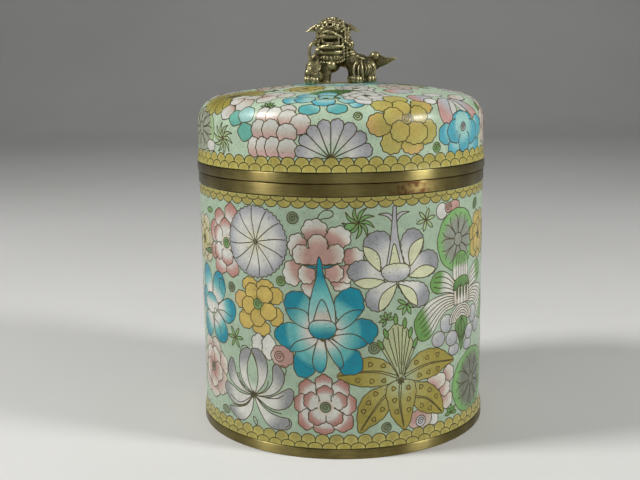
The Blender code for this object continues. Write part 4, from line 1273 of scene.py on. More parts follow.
def cut_shell(drawing):
    """The shell's skin in triangles that keep to the wires, its colours and rims, and the wires that show."""
    shell = drawing.shell
    runs = drawing.visible_runs()
    points, edges = [], []
    rims = [shell.reach[0]] + ([shell.reach[-1]] if shell.reach[-1] > 0 else [])
    for reach in rims:
        first = len(points)
        points += [(reach * math.sin(t), -reach * math.cos(t)) for t in TURNS]
        edges += [(first + i, first + (i + 1) % AROUND) for i in range(AROUND)]
    rim_count = len(points)
    for run, closed in runs:
        first = len(points)
        points += [tuple(p) for p in run]
        edges += [(first + i, first + i + 1) for i in range(len(run) - 1)]
        if closed:
            edges.append((first + len(run) - 1, first))
    taken = shell.solid(np.array(points))[0]
    tree = kdtree.KDTree(len(taken))
    for i, place in enumerate(taken):
        tree.insert(place, i)
    tree.balance()
    grid = []
    rows = int((shell.h[-1] - shell.h[0]) / (GRID_PITCH * ROW_SHARE))
    for row in range(1, rows):
        h = shell.h[0] + (shell.h[-1] - shell.h[0]) * row / rows
        radius = float(np.interp(h, shell.h, shell.radius))
        count = max(6, int(2 * math.pi * radius / GRID_PITCH))
        a = FULL_ARC * (np.arange(count) + 0.5 * (row % 2)) / count
        grid.append(shell.flat(np.stack([a, np.full(count, h)], 1)))
    grid = np.vstack(grid)
    places = shell.solid(grid)[0]
    free = [tree.find(place)[2] > CLEAR_OF_WIRES for place in places]
    points += [tuple(p) for p in grid[free]]
    made = geometry.delaunay_2d_cdt([Vector(p) for p in points], edges, [], 0, CUT_TOLERANCE)
    flat = np.array([tuple(p) for p in made[0]])
    faces = np.array(made[2])
    rim_ids = {source: i for i, sources in enumerate(made[3]) for source in sources if source < rim_count}
    reach = np.hypot(*flat.T)
    for i in range(rim_count):
        found = rim_ids[i]
        flat[found] *= rims[i // AROUND] / reach[found]
    centres = flat[faces].mean(1)
    if len(rims) > 1:
        hole = np.hypot(*centres.T) > rims[1] * math.cos(math.pi / AROUND)
        faces, centres = faces[hole], centres[hole]
    owners = drawing.topmost(centres, np.full(len(centres), -1))
    colours = drawing.colours(flat[faces], owners)
    rim_rows = [[rim_ids[row * AROUND + i] for i in range(AROUND)] for row in range(len(rims))]
    return flat, faces, colours, rim_rows, runs


def build_mesh(name, points, faces, material, normals=None, uvs=None, colours=None):
    """An object from arrays: points in millimetres, and the rest for each corner of each triangle."""
    mesh = bpy.data.meshes.new(name)
    mesh.vertices.add(len(points))
    mesh.vertices.foreach_set("co", (np.asarray(points) * MM).astype(np.float32).ravel())
    mesh.loops.add(faces.size)
    mesh.loops.foreach_set("vertex_index", faces.astype(np.int32).ravel())
    mesh.polygons.add(len(faces))
    mesh.polygons.foreach_set("loop_start", np.arange(0, faces.size, 3, dtype=np.int32))
    if uvs is not None:
        layer = mesh.uv_layers.new(name="OFBake")
        layer.data.foreach_set("uv", uvs.astype(np.float32).ravel())
    if colours is not None:
        attribute = mesh.color_attributes.new("paint", "FLOAT_COLOR", "CORNER")
        full = np.ones((len(faces) * 3, 4), np.float32)
        full[:, :3] = colours.reshape(-1, 3)
        attribute.data.foreach_set("color", full.ravel())
    mesh.update(calc_edges=True)
    if normals is not None:
        mesh.normals_split_custom_set(normals.reshape(-1, 3).tolist())
    mesh.materials.append(material)
    obj = bpy.data.objects.new(name, mesh)
    bpy.context.scene.collection.objects.link(obj)
    return obj


def ring_points(radius, height):
    """Points round the axis, from the front to the right."""
    return np.stack([radius * np.sin(TURNS), -radius * np.cos(TURNS), np.full(AROUND, height)], 1)


class Lining:
    """The plain surfaces that close a shell.

    They are rings of triangles from an edge of its skin to the axis, or to its other edge.
    """

    def __init__(self, points):
        self.points = [points]
        self.count = len(points)
        self.faces, self.normals, self.uvs = [], [], []

    def add_ring(self, radius, height):
        """A new ring of vertices, or a single one on the axis."""
        first = self.count
        made = ring_points(radius, height) if radius > 0 else np.array([[0.0, 0.0, height]])
        self.points.append(made)
        self.count += len(made)
        return list(range(first, self.count))

    def join(self, low, high, low_normal, high_normal, low_uv, high_uv, centre):
        """Triangles between two rings. Normals are (outward, up) pairs, and UVs are reaches from a centre."""
        turns = 2 * math.pi * np.arange(AROUND + 1) / AROUND
        ways = np.stack([np.sin(turns), -np.cos(turns)], 1)
        for i in range(AROUND):
            j = (i + 1) % AROUND
            corners = [(low[i], i, 0), (low[j], i + 1, 0)] if len(low) > 1 else [(low[0], i, 0)]
            corners += [(high[j], i + 1, 1), (high[i], i, 1)] if len(high) > 1 else [(high[0], i, 1)]
            for second in range(1, len(corners) - 1):
                triangle = (corners[0], corners[second], corners[second + 1])
                self.faces.append([c[0] for c in triangle])
                for _, turn, is_high in triangle:
                    (out, up), reach = (high_normal, high_uv) if is_high else (low_normal, low_uv)
                    way = ways[turn]
                    self.normals.append((way[0] * out, way[1] * out, up))
                    self.uvs.append((centre[0] + way[0] * reach, centre[1] + way[1] * reach))


def body_uv(shell, flat, faces):
    """The body's skin as two strips, the front above the back."""
    middle = shell.unrolled(flat[faces].mean(1))[:, 0]
    front = np.abs(middle) <= FULL_ARC / 4
    near = np.where(front, 0.0, FULL_ARC / 2)
    uvs = np.empty((len(faces), 3, 2))
    for k in range(3):
        a, h = shell.unrolled(flat[faces[:, k]], near).T
        up = (h - BODY_BOTTOM) / (BODY_TOP - BODY_BOTTOM)
        uvs[:, k, 0] = (a - near) / (FULL_ARC / 2 + STRIP_MARGIN) + 0.5
        uvs[:, k, 1] = STRIP_BOTTOM + STRIP_HEIGHT * up + np.where(front, STRIP_STEP, 0.0)
    return uvs


def make_body(drawing, material):
    """The jar's enamel with its underside, lip, inner wall and floor, and the runs of wire that show."""
    flat, faces, colours, (low_rim, high_rim), runs = cut_shell(drawing)
    points, normals = drawing.shell.solid(flat)
    lining = Lining(points)
    underside = lining.add_ring(0, BODY_BOTTOM)
    lining.join(underside, low_rim, DOWN, DOWN, 0, 0.075, UNDERSIDE_UV)
    lip = lining.add_ring(INNER_RADIUS, BODY_TOP)
    lining.join(high_rim, lip, UP, UP, 0.086, 0.084, INSIDE_UV)
    heel = lining.add_ring(INNER_RADIUS, FLOOR_TOP)
    lining.join(lip, heel, INWARDS, INWARDS, 0.083, 0.04, INSIDE_UV)
    floor = lining.add_ring(0, FLOOR_TOP)
    lining.join(heel, floor, UP, UP, 0.039, 0, INSIDE_UV)
    uvs = body_uv(drawing.shell, flat, faces)
    return finish_shell("body_enamel", lining, faces, normals, uvs, colours, material), runs


def finish_shell(name, lining, faces, normals, uvs, colours, material):
    """One closed mesh from a shell's skin and its lining."""
    flat_faces = np.array(lining.faces)
    all_faces = np.vstack([faces, flat_faces])
    all_normals = np.vstack([normals[faces].reshape(-1, 3), np.array(lining.normals)])
    all_uvs = np.vstack([uvs.reshape(-1, 2), np.array(lining.uvs)])
    plain = np.broadcast_to(LINING_COLOUR, (len(flat_faces) * 3, 3))
    all_colours = np.vstack([colours.reshape(-1, 3), plain])
    return build_mesh(name, np.vstack(lining.points), all_faces, material, all_normals, all_uvs, all_colours)


def make_lid(drawing, material):
    """The lid's enamel with its lower edge and inner face, and the runs of wire that show."""
    flat, faces, colours, (low_rim,), runs = cut_shell(drawing)
    points, normals = drawing.shell.solid(flat)
    lining = Lining(points)
    foot = lining.add_ring(INNER_RADIUS, LID_BOTTOM)
    lining.join(foot, low_rim, DOWN, DOWN, 0.078, 0.08, LID_INSIDE_UV)
    radius, height = crown(WALL)
    slope_r, slope_z = np.gradient(radius), np.gradient(height)
    steps = np.hypot(slope_r, slope_z)
    last = len(radius) - 1
    picks = [*range(0, last + 1, 6), last]
    before, before_normal, before_reach = foot, INWARDS, 0.077
    for k, i in enumerate(picks):
        ring = lining.add_ring(radius[i] if i < last else 0, height[i])
        normal = (-slope_z[i] / steps[i], slope_r[i] / steps[i])
        reach = 0.07 * (1 - k / (len(picks) - 1))
        lining.join(ring, before, normal, before_normal, reach, before_reach, LID_INSIDE_UV)
        before, before_normal, before_reach = ring, normal, reach
    uvs = LID_UV_CENTRE + LID_UV_REACH * flat[faces] / drawing.shell.reach[0]
    return finish_shell("lid_enamel", lining, faces, normals, uvs, colours, material), runs


def make_wires(name, shell, runs, material):
    """Flat-topped ribbons of wire, seated in the wall."""
    points, faces, uvs, count = [], [], [], 0
    for run, closed in runs:
        steps = np.hypot(*(run - np.roll(run, 1, 0)).T)
        steps[0] = steps[0] if closed else 1.0
        run = run[steps > SAME_PLACE]
        if len(run) < 2:
            continue
        place, normal = shell.solid(run)
        if closed:
            way = np.roll(place, -1, 0) - np.roll(place, 1, 0)
        else:
            way = np.gradient(place, axis=0)
        length = np.maximum(np.linalg.norm(way, axis=1), SAME_PLACE)
        side = np.cross(normal, way / length[:, None])
        top = place + normal * WIRE_PROUD
        rows = np.stack([top + side * WIRE_WIDTH / 2, top - side * WIRE_WIDTH / 2,
                         place - normal * WIRE_DEPTH], 1)
        n = len(run)
        points.append(rows.reshape(-1, 3))
        i = np.arange(n if closed else n - 1)
        j = (i + 1) % n
        for p, q in ((0, 1), (1, 2), (2, 0)):
            faces.append(np.stack([i * 3 + p, j * 3 + p, j * 3 + q], 1)[:, ::-1] + count)
            faces.append(np.stack([i * 3 + p, j * 3 + q, i * 3 + q], 1)[:, ::-1] + count)
        if not closed:
            faces.append(np.array([[0, 1, 2]]) + count)
            faces.append(np.array([[2, 1, 0]]) + count + (n - 1) * 3)
        count += n * 3
    points, faces = np.vstack(points), np.vstack(faces)
    a = np.arctan2(points[:, 0], -points[:, 1]) / (2 * math.pi)
    up = (points[:, 2] - points[:, 2].min()) / np.ptp(points[:, 2])
    uvs = np.stack([a, up], 1)[faces]
    ahead = uvs[..., 0] - uvs[..., :1, 0]
    uvs[..., 0] += (-ahead > 0.5) * 1.0 - (ahead > 0.5) * 1.0
    uvs[..., 0] = 0.5 + uvs[..., 0] * WIRE_UV_WIDTH
    obj = build_mesh(name, points, faces, material, uvs=uvs)
    obj.data.shade_flat()
    return obj


def turned(name, profile, material):
    """A ring turned from a closed section of (radius, height) points, given in millimetres."""
    profile = np.array(profile)
    rows = np.stack([ring_points(r, z) for r, z in profile])
    n = len(profile)
    lengths = np.hypot(*(np.roll(profile, -1, 0) - profile).T)
    share = np.concatenate([[0], np.cumsum(lengths)]) / lengths.sum()
    faces, uvs = [], []
    for k in range(n):
        for i in range(AROUND):
            a, b = k * AROUND + i, k * AROUND + (i + 1) % AROUND
            c, d = (k + 1) % n * AROUND + (i + 1) % AROUND, (k + 1) % n * AROUND + i
            left, right = i / AROUND, (i + 1) / AROUND
            faces += [(a, b, c), (a, c, d)]
            uvs += [(left, share[k]), (right, share[k]), (right, share[k + 1])]
            uvs += [(left, share[k]), (right, share[k + 1]), (left, share[k + 1])]
    obj = build_mesh(name, rows.reshape(-1, 3), np.array(faces), material, uvs=np.array(uvs))
    obj.data.set_sharp_from_angle(angle=math.radians(35))
    return obj


def rounded_section(corners):
    """A closed section with its corners rounded. A corner is a radius, a height and how far it is rounded."""
    section = []
    for i, (*here, reach) in enumerate(corners):
        to_last = np.array(corners[i - 1][:2]) - here
        to_next = np.array(corners[(i + 1) % len(corners)][:2]) - here
        start = here + to_last / np.hypot(*to_last) * reach
        end = here + to_next / np.hypot(*to_next) * reach
        for t in np.linspace(0, 1, 4):
            section.append((1 - t) ** 2 * start + 2 * t * (1 - t) * np.array(here) + t**2 * end)
    return section


def band_section(band):
    """The section of a plain band with softened edges."""
    inner, outer, bottom, top = band
    corners = ((inner, bottom), (outer, bottom), (outer, top), (inner, top))
    return rounded_section([(*corner, BAND_ROUNDING) for corner in corners])


def rim_section():
    """The section of the rim band with the collar, which stands inside the mouth and reaches into the lid."""
    _, outer, bottom, top = RIM_BAND
    inner, meeting, drop, rise = COLLAR
    collar_foot = [(inner, drop, 0.2), (meeting, drop, 0.2), (meeting, bottom, 0.02)]
    band = [(outer, bottom, BAND_ROUNDING), (outer, top, BAND_ROUNDING), (meeting, top, 0.02)]
    return rounded_section(collar_foot + band + [(meeting, rise, 0.3), (inner, rise, 0.3)])


def make_bands(material):
    """The three brass bands, each with the node that it stands for."""
    foot, lid = band_section(FOOT_BAND), band_section(LID_BAND)
    sections = (("foot_band", foot), ("rim_band", rim_section()), ("lid_band", lid))
    return [(turned(f"{node}_brass", section, material), node) for node, section in sections]


# The lion, drawn in millimetres about the lid's apex, with its face to the front


def unit_ball(fine):
    """The points and triangles of a ball of radius 1."""
    shape = bmesh.new()
    bmesh.ops.create_icosphere(shape, subdivisions=fine, radius=1.0)
    points = np.array([vertex.co[:] for vertex in shape.verts])
    faces = np.array([[vertex.index for vertex in face.verts] for face in shape.faces])
    shape.free()
    return points, faces


def unit_bar():
    """The rim of a bar, and the triangles that join two such rims and close their ends."""
    sides, faces = 10, []
    for i in range(sides):
        after = (i + 1) % sides
        faces += [(i, after, sides + after), (i, sides + after, sides + i)]
    for i in range(1, sides - 1):
        faces += [(0, i + 1, i), (sides, sides + i, sides + i + 1)]
    return circle((0, 0), 1.0, sides), np.array(faces)


class Clay:
    """Gathers the lumps that are fused into the lion."""

    def __init__(self):
        self.points, self.faces, self.count = [], [], 0
        self.balls = {fine: unit_ball(fine) for fine in (1, 2, 3)}
        self.rim, self.bar = unit_bar()

    def add(self, points, faces):
        """One lump from its own points and triangles."""
        self.points.append(points)
        self.faces.append(faces + self.count)
        self.count += len(points)

    def ball(self, centre, radii, turn=None, fine=2):
        """An ellipsoid. Turn is a rotation given as (angle in degrees, axis)."""
        points, faces = self.balls[fine]
        points = points * radii
        if turn:
            points = points @ np.array(Matrix.Rotation(math.radians(turn[0]), 3, Vector(turn[1]))).T
        self.add(points + np.array(centre), faces)

    def link(self, start, end, start_radius, end_radius):
        """A round tapered bar between two points."""
        start, end = np.array(start, float), np.array(end, float)
        way = Vector(end - start)
        if way.length < 1e-6:
            return
        rim = self.rim @ np.array(way.to_track_quat("Z", "Y").to_matrix())[:, :2].T
        self.add(np.vstack([start + rim * start_radius, end + rim * end_radius]), self.bar)

    def limb(self, points, fine=2):
        """A chain of balls and tapered bars through (x, y, z, radius) points."""
        for x, y, z, radius in points:
            self.ball((x, y, z), radius, fine=fine)
        for (*start, start_radius), (*end, end_radius) in zip(points, points[1:]):
            self.link(start, end, start_radius, end_radius)

    def coil(self, centre, radius, thickness, facing, turns=1.6, hand=1):
        """A spiral ridge that faces outwards along a direction."""
        facing = Vector(facing).normalized()
        across = facing.cross(Vector((0, 0, 1)))
        across = across.normalized() if across.length > 0.1 else Vector((1, 0, 0))
        up = across.cross(facing)
        points = []
        for i in range(11):
            share = i / 10
            angle = hand * 2 * math.pi * turns * share
            reach = radius * (1 - 0.85 * share)
            place = Vector(centre) + reach * (math.cos(angle) * across + math.sin(angle) * up)
            place += facing * radius * 0.25 * share
            points.append((*place, thickness * (1 + 0.3 * share)))
        self.limb(points, 1)

    def strand(self, points, thickness):
        """A thin tapered lock of hair through (x, y, z) points."""
        curve = smooth(points, False, 3)
        ends = np.sin(np.linspace(0.35, math.pi - 0.35, len(curve)))
        self.limb([(*place, thickness * end) for place, end in zip(curve, ends)], 1)

    def mesh(self, name):
        """All lumps as one mesh, still in millimetres."""
        mesh = bpy.data.meshes.new(name)
        mesh.from_pydata(np.vstack(self.points).tolist(), [], np.vstack(self.faces).tolist())
        return mesh


HEAD = Vector((-2.9, -7.4, 21.4))
CHEST = Vector((-3.8, -5.6, 11.8))
HEAD_TURN = -9.0

# The curls of a brow: how far to the side, forward and up
BROW_CURLS = (
    (0.6, 6.3, 1.9), (1.5, 6.1, 2.6), (3.2, 5.6, 2.4), (4.4, 5.0, 1.5), (5.4, 3.9, 0.6), (4.6, 5.0, -0.1),
    (5.9, 3.2, -0.9),
)

# Rows of curls over the crown: how far forward and up, half the row's width, and how many
CROWN_ROWS = ((4.7, 3.9, 5.0, 7), (2.6, 5.0, 4.6, 6), (0.2, 5.2, 4.6, 6), (-2.2, 4.6, 4.4, 5),
              (-4.2, 3.2, 3.8, 4))


def on_head(side, forward, up):
    """A place on the head: side is to the right, and forward is out of the face."""
    return HEAD + Matrix.Rotation(math.radians(HEAD_TURN), 3, "Z") @ Vector((side, -forward, up))


def head_limb(clay, points, fine=2):
    """A chain of balls and bars through (side, forward, up, radius) points of the head."""
    clay.limb([(*on_head(*place), radius) for *place, radius in points], fine)


def add_torso(clay):
    """The chest, neck, back and haunches."""
    clay.ball(CHEST, (5.2, 4.8, 5.0), fine=3)
    clay.limb([(*CHEST, 4.4), (4.0, -0.4, 9.4, 3.8), (11.0, 3.6, 6.8, 4.1)], 3)
    clay.limb([(-3.4, -4.6, 13.2, 4.8), (-2.9, -4.4, 18.4, 5.2)], 3)
    clay.ball((-3.2, -3.2, 7.4), 3.6)
    clay.ball((3.6, -3.8, 11.4), (4.0, 3.8, 3.4))
    clay.ball((-9.6, -6.6, 9.6), (3.2, 3.4, 3.4))
    clay.ball((12.2, 1.8, 5.2), (3.9, 4.6, 4.8), fine=3)
    clay.ball((11.6, -1.4, 5.0), (3.7, 3.9, 4.5), fine=3)
    for i in range(9):
        share = i / 8
        x, y = -0.5 + 11.0 * share, -1.6 + 6.6 * share
        clay.ball((x, y, 13.4 - 2.6 * share), (0.9, 0.9, 0.8))


def add_face(clay):
    """The brow, eyes, nose, the arched lip over the muzzle, the open mouth with its tongue, and the jaw."""
    clay.ball(on_head(0, 0, 0.2), (6.6, 5.8, 5.1), fine=3)
    clay.ball(on_head(0, 3.3, 0.7), (5.8, 3.1, 2.4), fine=3)
    clay.ball(on_head(-0.2, 4.6, -1.9), (5.0, 2.9, 1.6), fine=3)
    clay.ball(on_head(-0.2, 7.3, -0.5), (1.3, 0.8, 0.6))
    clay.ball(on_head(0, 3.0, -4.4), (4.4, 1.8, 1.9))
    clay.ball(on_head(-0.2, 4.9, -4.9), (2.5, 2.2, 0.65))
    clay.ball(on_head(-0.8, 4.0, -6.6), (5.3, 3.1, 1.0), fine=3)
    clay.ball(on_head(0, 1.0, -5.6), (5.2, 4.0, 2.4), fine=3)
    head_limb(clay, [(-6.3, 2.4, 1.2, 0.3), (-5.3, 3.8, 2.2, 0.38), (-3.7, 4.9, 3.0, 0.42),
                     (-1.9, 5.5, 3.5, 0.42), (0.2, 5.7, 3.6, 0.42), (2.3, 5.4, 3.2, 0.42),
                     (4.1, 4.6, 2.5, 0.42), (5.6, 3.5, 1.7, 0.38), (6.4, 2.2, 0.8, 0.3)])
    head_limb(clay, [(-5.9, 3.9, -2.6, 0.32), (-4.4, 5.7, -1.5, 0.42), (-2.9, 7.0, -0.5, 0.48),
                     (-1.5, 7.7, 0.0, 0.5), (-0.4, 7.9, 0.2, 0.5), (0.9, 7.6, -0.3, 0.5),
                     (2.2, 7.0, -1.0, 0.48), (3.5, 5.9, -1.9, 0.42), (5.1, 4.2, -2.9, 0.32)])
    head_limb(clay, [(-5.8, 4.1, -6.1, 0.35), (-3.4, 6.2, -5.95, 0.35), (-0.5, 7.1, -5.9, 0.35),
                     (2.3, 6.2, -6.0, 0.35), (4.5, 4.3, -6.2, 0.35)])
    head_limb(clay, [(-4.9, 3.6, -3.2, 0.6), (-5.2, 3.2, -4.6, 0.7), (-5.6, 3.4, -6.2, 0.8)])
    head_limb(clay, [(4.7, 3.2, -3.5, 0.6), (4.7, 2.8, -4.9, 0.7), (4.4, 3.4, -6.3, 0.8)])
    for side in (-1, 1):
        clay.ball(on_head(side * 0.75, 7.6, -0.6), (0.5, 0.4, 0.4))
        clay.ball(on_head(side * 2.5, 5.4, 1.3), (1.1, 1.0, 0.85))
        for lid in (1, -1):
            head_limb(clay, [(side * 1.3, 6.0, 1.3 + 0.2 * lid, 0.2),
                             (side * 2.5, 6.3, 1.3 + 0.7 * lid, 0.24),
                             (side * 3.8, 5.4, 1.1 + 0.2 * lid, 0.2)], 1)
        for reach, forward, up in BROW_CURLS:
            clay.ball(on_head(side * reach, forward - 0.5, up), 0.62)
            clay.coil(on_head(side * reach, forward, up), 0.5, 0.2, (side * 0.2 * reach, -1, 0.2), 1.1, side)
        head_limb(clay, [(side * 3.5, 5.9, -3.1, 0.42), (side * 3.5, 5.9, -4.3, 0.2)])
        clay.ball(on_head(side * 5.0, 1.2, -1.6), (1.5, 2.2, 4.2), fine=3)
        for row in range(5):
            for column, (reach, forward) in enumerate(((5.7, 2.9), (6.2, 1.5), (6.6, 0.1))):
                place = on_head(side * reach, forward, 1.2 - 1.35 * row - 0.6 * (column % 2))
                outward = (place - on_head(0, 0, place.z - HEAD.z)).normalized()
                clay.ball(place, 0.66)
                clay.coil(place + 0.38 * outward, 0.55, 0.19, (side, -0.9, 0.0), 1.1, side)


def add_ears(clay):
    """The ears, which point outwards and down."""
    for side in (-1, 1):
        for step in range(9):
            share = step / 8
            lift = 1.5 - 1.5 * share + 0.35 * math.sin(math.pi * share)
            height = 1.75 * (1 - share) + 0.25
            clay.ball(on_head(side * (6.2 + 5.0 * share), -0.6, lift), (0.8, 0.5, height),
                      (side * 30, (0, 1, 0)))
        rim = ((6.8, -1.0, 3.4, 0.3), (8.4, -1.0, 2.4, 0.3), (10.0, -0.9, 1.2, 0.27), (11.4, -0.8, 0.1, 0.22))
        fold = ((7.2, -0.8, 0.6, 0.22), (9.2, -0.7, 0.5, 0.22), (11.0, -0.7, 0.1, 0.2))
        for ridge in (rim, fold):
            head_limb(clay, [(side * reach, *rest) for reach, *rest in ridge], 1)


def add_mane(clay):
    """Rows of low curls over the crown and down the neck, and the large curls beside the jaws."""
    clay.ball(on_head(0, 0.1, 1.0), (6.0, 5.5, 4.8), fine=3)
    for forward, up, spread, count in CROWN_ROWS:
        for i in range(count):
            side = spread * (2 * i / (count - 1) - 1)
            place = on_head(side, forward, up - 0.075 * side**2)
            clay.ball(place, 0.9)
            outward = Vector((side * 0.5, -forward * 0.7, up)).normalized()
            clay.coil(place + outward * 0.68, 0.78, 0.2, outward, 1.2, 1 if i % 2 else -1)
    for row in range(5):
        count = 5 + row % 2
        for i in range(count):
            angle = math.radians(5 + 170 * i / (count - 1))
            reach = 5.5 + 0.24 * row
            back = -1.4 - 0.4 * row - 0.8 * reach * math.sin(angle)
            place = on_head(reach * math.cos(angle), back, 1.8 - 2.45 * row)
            clay.ball(place, 1.55)
            outward = Vector((math.cos(angle), math.sin(angle), 0.15))
            clay.coil(place + outward * 1.25, 1.05, 0.28, outward, 1.2, 1 if (i + row) % 2 else -1)
    clay.ball((4.2, -7.4, 15.9), (2.3, 1.3, 2.3))
    clay.coil((4.3, -8.8, 15.9), 1.85, 0.42, (0.15, -1, 0), 1.25, -1)
    clay.ball((-9.6, -7.6, 16.8), (2.0, 1.5, 2.0))
    clay.coil((-9.7, -9.0, 16.8), 1.4, 0.34, (-0.2, -1, 0), 1.25, 1)
    for row in range(5):
        for i in range(6):
            share = i / 5
            place = Vector((1.4 + 7.4 * share, -9.2 + 6.0 * share + 0.5 * row,
                            14.4 - 4.6 * share - 1.25 * row))
            clay.ball(place, 0.85)
            hand = 1 if (i + row) % 2 else -1
            clay.coil(place + Vector((0.35, -0.65, 0.3)), 0.6, 0.22, (0.5, -1, 0.4), 1.1, hand)


def add_harness(clay):
    """The folds across the throat, the curls of the chest, the beads of the collar and its bell."""
    for height, reach, thickness in ((12.7, 4.9, 1.15), (10.9, 4.8, 0.45), (9.7, 4.6, 0.4)):
        points = []
        for i in range(13):
            angle = math.radians(-170 + 160 * i / 12)
            points.append((CHEST.x + reach * math.cos(angle), -6.4 + 4.5 * math.sin(angle), height,
                           thickness))
        clay.limb(points)
    for i in range(9):
        angle = math.radians(-155 + 130 * i / 8)
        side, out = math.cos(angle), math.sin(angle)
        clay.ball((CHEST.x + 5.3 * side, -6.7 + 4.9 * out, 8.9 - 0.5 * math.sin(math.pi * i / 8)), 0.55)
        clay.ball((CHEST.x + 5.2 * side, -6.4 + 4.8 * out, 10.3), 0.5)
    clay.ball((-3.5, -11.6, 7.4), 1.85, fine=3)
    clay.limb([(-5.1, -12.5, 7.2, 0.2), (-3.5, -13.3, 7.2, 0.2), (-1.9, -12.5, 7.2, 0.2)], 1)
    clay.ball((-3.5, -11.4, 9.2), 0.55)


def add_paw(clay, x, y, heading, size=1.0):
    """A paw with four clawed toes. Heading is the way it points, in degrees, where -90 is the front."""
    clay.ball((x, y, 1.8), (3.0 * size, 3.0 * size, 2.2))
    clay.ball((x, y, -0.8), (2.9 * size, 2.9 * size, 2.4))
    for step in (-1.5, -0.5, 0.5, 1.5):
        angle = math.radians(heading + step * 34)
        way = Vector((math.cos(angle), math.sin(angle), 0))
        toe = Vector((x, y, 1.1)) + way * 2.4 * size
        clay.ball(toe, (1.15 * size, 1.15 * size, 1.7))
        claw, tip = toe + way * 0.85 + Vector((0, 0, 0.1)), toe + way * 1.1 + Vector((0, 0, -0.9))
        clay.limb([(*claw, 0.34), (*tip, 0.22)], 1)


def add_legs(clay):
    """Four legs with locks of hair behind the joints. The hind pair is under the haunches."""
    clay.limb([(-8.4, -6.0, 9.6, 3.0), (-11.4, -8.6, 6.6, 3.1), (-12.0, -9.6, 3.4, 3.2)], 3)
    clay.limb([(-7.2, -5.2, 8.0, 3.4), (-6.6, -4.8, 3.8, 3.2), (-6.8, -4.8, 0.4, 2.9)], 3)
    clay.ball((-9.8, -8.4, 3.4), 3.2, fine=3)
    add_paw(clay, -12.0, -9.6, -98, 1.1)
    for i in range(5):
        clay.strand([(-13.8 + 0.2 * i, -10.4, 8.0 - 0.7 * i),
                     (-12.0 + 0.3 * i, -11.5 - 0.2 * i, 7.6 - 0.75 * i),
                     (-9.6 + 0.2 * i, -10.6 - 0.3 * i, 7.9 - 0.6 * i), (-6.4, -9.4, 8.4 - 0.5 * i)], 0.26)
    clay.coil((-13.6, -12.0, 4.4), 0.85, 0.36, (-0.4, -1, 0.1), 1.1, 1)
    clay.limb([(4.2, -4.2, 9.4, 3.4), (6.2, -5.6, 6.4, 3.2), (6.4, -6.6, 3.0, 2.8)], 3)
    add_paw(clay, 6.4, -7.2, -86, 1.05)
    clay.limb([(9.2, -7.6, 8.4, 0.5), (9.4, -8.4, 6.6, 0.6), (9.6, -8.6, 4.6, 0.6), (9.8, -8.4, 2.6, 0.55),
               (10.0, -7.8, 0.8, 0.5)])
    clay.strand([(7.2, -8.6, 8.6), (6.0, -9.4, 7.0), (5.8, -9.9, 4.6), (6.2, -9.8, 2.6)], 0.62)
    clay.strand([(8.6, -7.8, 8.0), (7.9, -9.0, 6.0), (7.9, -9.4, 4.0), (8.3, -9.2, 2.2)], 0.4)
    clay.limb([(12.2, 1.0, 5.0, 3.4), (12.6, -0.4, 2.6, 2.5)], 3)
    add_paw(clay, 12.6, -1.6, -72, 1.05)
    for i in range(9):
        lock = []
        for step, z in enumerate((8.8, 7.2, 5.4, 3.6, 2.0)):
            angle = math.radians(-136 + 17 * i + 6 * step * (4 - step))
            reach = 1.05 * math.sqrt(1 - ((z - 5.0) / 4.8) ** 2)
            lock.append((11.7 + 3.75 * reach * math.cos(angle), -1.4 + 4.0 * reach * math.sin(angle), z))
        clay.strand(lock, 0.5 if i in (1, 2) else 0.26)
    clay.limb([(8.0, 6.4, 7.0, 3.4), (6.4, 7.2, 3.0, 2.4)], 3)
    add_paw(clay, 6.4, 6.8, -120, 0.9)
    for i in range(5):
        clay.strand([(11.0 - 1.4 * i, 7.4, 8.4), (10.2 - 1.4 * i, 8.6, 6.0), (9.6 - 1.4 * i, 8.6, 3.4)], 0.34)
    clay.coil((9.0, 9.0, 7.0), 1.2, 0.32, (0, 1, 0.2), 1.2, 1)


def add_ribbon(clay):
    """The ribbon that hangs from the corner of the mouth and ends on the shoulder."""
    clay.limb([
        (-9.8, -9.6, 17.0, 0.8), (-11.2, -9.9, 16.7, 0.7), (-12.2, -10.1, 15.8, 0.7),
        (-12.7, -10.2, 14.6, 0.7), (-12.9, -10.2, 13.0, 0.7), (-12.9, -10.2, 11.4, 0.75),
        (-12.6, -9.9, 10.0, 0.8), (-12.2, -9.5, 8.8, 0.85),
    ])


def add_tail(clay):
    """The tail: a round knob over the haunch, from which a smooth flame points to the right."""
    clay.limb([(13.6, 5.2, 7.0, 2.4), (15.0, 5.0, 10.2, 2.2)], 3)
    clay.ball((15.6, 4.3, 10.6), 2.2, fine=3)
    clay.ball((16.2, 4.6, 7.0), (1.6, 1.6, 2.2))
    for x, z, height, depth in (
        (16.1, 9.1, 3.2, 1.7), (16.8, 8.8, 3.05, 1.7), (17.5, 8.6, 2.85, 1.6), (18.2, 8.5, 2.55, 1.45),
        (19.0, 8.5, 2.2, 1.3), (19.8, 8.5, 1.9, 1.15), (20.6, 8.6, 1.6, 1.0), (21.4, 8.8, 1.35, 0.85),
        (22.2, 9.0, 1.1, 0.7), (23.0, 9.2, 0.85, 0.6), (24.0, 9.5, 0.55, 0.5),
    ):
        clay.ball((x, 5.0 - 0.4 * (x - 15.0), z), (1.1 if x < 22 else 0.75, depth, height), fine=3)
    clay.limb([(17.0, 3.2, 12.0, 0.3), (18.2, 2.8, 10.9, 0.3), (19.9, 2.3, 10.1, 0.3), (21.8, 1.9, 9.9, 0.3),
               (24.2, 1.3, 9.9, 0.4)])


